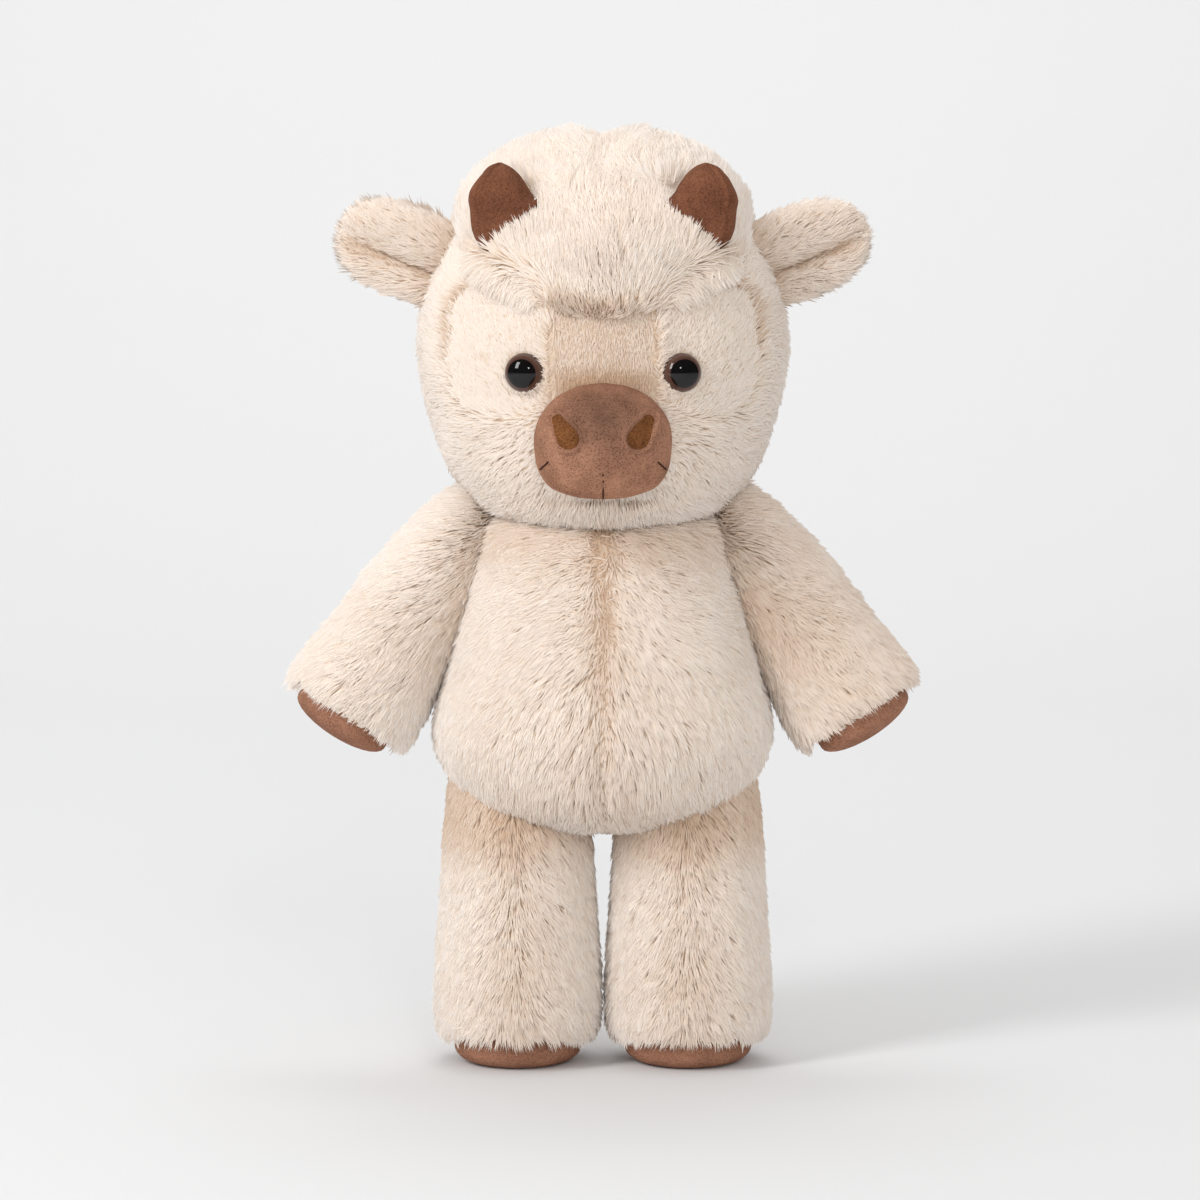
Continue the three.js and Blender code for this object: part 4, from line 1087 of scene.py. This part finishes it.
for side, name in sides:
    makeNostril(side, name)
    sew(f"{name}_lip_thread", f"{name}_lip_stitch",
        [[(side * (19.2 + 3.4 * t), 229 - 3.4 * t) for t in np.linspace(0, 1, 11)]], 0.00032)
chinRuns = [(225, 0.7), (222.6, 0.7), (220, 5.2)]
sew("chin_thread", "chin_stitch", [[(0.1 * k % 0.2, top - drop * t) for t in np.linspace(0, 1, 5)]
                                   for k, (top, drop) in enumerate(chinRuns)], 0.0003)

# horns
# how far the outer side stands out at each share of the height
hornOuter = ([0, 0.234, 0.296, 0.39, 0.52, 0.65, 0.78, 0.9, 1],
             [-5, -2.3, -0.9, 0.3, 0.9, 0.8, -0.1, -0.7, 0])


def makeHorn(side, name):
    form = makeForm("horn", horn["base"], horn["height"], *[horn["radius"]] * 3,
                    x=side * horn["side"], y=horn["y"])

    def shape(p, n):
        share = np.clip((p[:, 2] - horn["base"]) / horn["height"], 0, 1)
        bow = np.interp(share, [0, .52, .73, .86, 1], [0, .4, .8, .96, 1]) * 5 * side
        x = p[:, 0] - side * horn["side"]
        turn = np.arctan2(p[:, 1] - horn["y"], x * side)
        ridge = (1.2 * np.exp(-((turn + 0.82) / 0.08) ** 2) - 0.9 * np.exp(-((turn + 0.62) / 0.07) ** 2)) \
            * smooth(0.05, 0.3, share) * smooth(1.0, 0.93, share)
        wrinkle = 0.3 * ripple(p * np.array([1, 1, 1.8]), 5.5, side) * smooth(0.2, 0.6, share)
        pinch = 0.5 * np.sin(turn * 3 + 1) * smooth(0.8, 0.97, share)
        moved = p + n * (ridge + wrinkle + pinch)[:, None]
        moved[:, 0] += bow - side * 1.5 * smooth(0.85, 0.55, share)
        outer = np.interp(share, *hornOuter)
        flare = 2.6 * np.exp(-((share - 0.59) / 0.09) ** 2)
        outside, inside = smooth(-0.3, 0.8, np.cos(turn)), smooth(0.3, -0.8, np.cos(turn))
        moved[:, 0] += side * (outer * outside - flare * inside - 2.2 * smooth(0.6, 0.95, share))
        moved[:, 1] += 9.5 * smooth(0.85, 0.15, share) - 2
        middle = np.array([side * horn["side"], -30, 0])
        sunk = 0.8 * smooth(1, -11, hornHem(moved))[:, None] * [1, 1, 0]
        return moved + (middle - moved) * sunk

    skin = stuffedSkin(f"{name}_horn_cover", form, 0, hornSuede, 150, 90)
    stuffing = stuffedSkin(f"{name}_horn_stuffing", form, horn["skin"], filling, 48, 40)
    for piece in (skin, stuffing):
        moveVertices(piece, shape)
        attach(piece, "head")
    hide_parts(f"{name}_horn_skin")
    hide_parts(f"{name}_horn_filling")


for side, name in sides:
    makeHorn(side, name)


# eyes
def eyeMaterial():
    material = newMaterial("eye_acrylic", (0.05, 0.02, 0.015), 0.06)
    tree = material.node_tree
    shader = tree.nodes["Principled BSDF"]
    shader.inputs["Specular IOR Level"].default_value = 0.4
    ringMap = addNode(tree, "ShaderNodeUVMap", uv_map="OFBake")
    split = addNode(tree, "ShaderNodeSeparateXYZ")
    # a black pupil, a brown ring and a dark rim
    ramp = addRamp(tree, (0.0, 0.71, 0.75, 0.93, 1.0), (
        (0.004, 0.004, 0.004), (0.005, 0.004, 0.004), (0.085, 0.042, 0.031), (0.115, 0.060, 0.045),
        (0.03, 0.015, 0.01)))
    join(tree, (ringMap, "UV", split, 0), (split, "X", ramp, "Fac"), (ramp, "Color", shader, "Base Color"))
    return material


acrylic = eyeMaterial()


def makeEye(side, name):
    lens, mesh, _, _ = newSphere(f"{name}_eye_lens", 64, 48)
    turn = Matrix.Rotation(side * math.radians(eye["turn"]), 4, "Z") \
        @ Matrix.Rotation(-math.radians(eye["tilt"]), 4, "X")
    seat = Vector((side * eye["side"], eye["y"], eye["z"]))
    for vert in mesh.verts:
        x, y, z = vert.co
        depth = eye["back"] if y > 0 else eye["dome"]
        vert.co = turn @ Vector((x * eye["radius"], y * depth, z * eye["radius"])) + seat
    bmesh.update_edit_mesh(lens.data)
    closeEdit()
    flat = readPoints(lens.data)
    axisLocal = (flat - np.array(seat)) @ np.array(turn.to_3x3())
    radial = np.hypot(axisLocal[:, 0], axisLocal[:, 2]) / eye["radius"]
    radial = np.clip(radial, 0.01, 0.99)
    around = (np.arctan2(axisLocal[:, 2], axisLocal[:, 0]) / (2 * math.pi)) % 1
    lens.data.vertices.foreach_set("co", toMetres(flat).ravel())
    while lens.data.uv_layers:
        lens.data.uv_layers.remove(lens.data.uv_layers[0])
    ring = lens.data.uv_layers.new(name="OFBake")
    for loop in lens.data.loops:
        ring.data[loop.index].uv = (radial[loop.vertex_index], around[loop.vertex_index])
    bpy.ops.object.shade_smooth()
    useMaterial(lens, acrylic)
    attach(lens, "head")
    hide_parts(f"{name}_eye")


for side, name in sides:
    makeEye(side, name)
print("face made")

# what lies inside
for name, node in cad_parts.items():
    if "filling" in name:
        useMaterial(node, filling)
    elif "pellet_bag" in name:
        useMaterial(node, pelletBag)
    elif "washer" in name:
        useMaterial(node, washerPlastic)

# camera, light and stage
view = {"distance": 1.5, "elevation": 5.0, "span": 0.444, "lookX": -0.0011, "lookZ": 0.1745}
camData = bpy.data.cameras.new("camera")
camera = addObject("camera", camData)
camData.sensor_fit = "HORIZONTAL"
camData.angle = 2 * math.atan(view["span"] / 2 / view["distance"])
tilt = math.radians(view["elevation"])
target = Vector((view["lookX"], 0.0, view["lookZ"]))
camera.location = target + Vector((0, -math.cos(tilt), math.sin(tilt))) * view["distance"]
camera.rotation_euler = (math.pi / 2 - tilt, 0, 0)
camData.clip_end = 50
bpy.context.scene.camera = camera

studio = {"floor": (0.80, 0.80, 0.803), "key": 18.4, "front": 8.2, "spot": 2.2, "wall": 25.0, "world": 0.585,
          "mirrored": 0.05}


def addLight(name, place, aim, size, power, shape, colour=(1, 1, 1)):
    data = bpy.data.lights.new(name, "AREA")
    data.shape = shape
    data.size = size
    data.energy = power
    data.color = colour
    lamp = addObject(name, data)
    lamp.location = place
    lamp.rotation_euler = (Vector(aim) - Vector(place)).to_track_quat("-Z", "Y").to_euler()
    return lamp


key = addLight("key", (-1.35, -1.15, 1.25), (0, 0, 0.18), 0.5, studio["key"], "RECTANGLE", (0.985, 0.99, 1))
key.data.size_y = 1.0
addLight("front_spot", (0.22, -1.7, 0.85), (0, 0, 0.2), 0.2, studio["spot"], "DISK")
frontSheet = addLight("front_sheet", (0.35, -2.0, 1.0), (0, 0, 0.18), 1.5, studio["front"], "SQUARE",
                      (1, 0.97, 0.93))
frontSheet.visible_glossy = False
addLight("wall_wash", (0, 0.9, 2.6), (0, 2.4, 0.9), 1.6, studio["wall"], "SQUARE")

world = bpy.data.worlds.new("studio")
bpy.context.scene.world = world
world.use_nodes = True
sky = world.node_tree
sky.nodes["Background"].inputs["Color"].default_value = (1, 1, 1, 1)
ray = addNode(sky, "ShaderNodeLightPath")
level = addNode(sky, "ShaderNodeMix", data_type="FLOAT")
level.inputs["A"].default_value = studio["world"]
level.inputs["B"].default_value = studio["mirrored"]
join(sky, (ray, "Is Glossy Ray", level, "Factor"), (level, "Result", sky.nodes["Background"], "Strength"))

deselectAll()
bpy.ops.mesh.primitive_plane_add(size=1)
floor = bpy.context.object
floor.name = "studio_floor"
bpy.ops.object.mode_set(mode="EDIT")
bpy.ops.mesh.select_all(action="DESELECT")
sheet = bmesh.from_edit_mesh(floor.data)
for vert in sheet.verts:
    vert.co = Vector((vert.co.x * 12, -3.0 if vert.co.y < 0 else 1.2, 0))
sheet.edges.ensure_lookup_table()
for edge in sheet.edges:
    edge.select = all(v.co.y > 1 for v in edge.verts)
bmesh.update_edit_mesh(floor.data)
for i in range(10):
    angle = (i + 0.5) / 10 * math.pi / 2
    step = 1.3 * math.pi / 2 / 10
    bpy.ops.mesh.extrude_region_move(
        TRANSFORM_OT_translate={"value": (0, step * math.cos(angle), step * math.sin(angle))})
bpy.ops.mesh.extrude_region_move(TRANSFORM_OT_translate={"value": (0, 0, 4)})
bpy.ops.object.mode_set(mode="OBJECT")
bpy.ops.object.shade_smooth()
paper = newMaterial("studio_paper", studio["floor"], 0.9)
useMaterial(floor, paper)

bpy.context.scene.view_settings.view_transform = "Standard"
deselectAll()
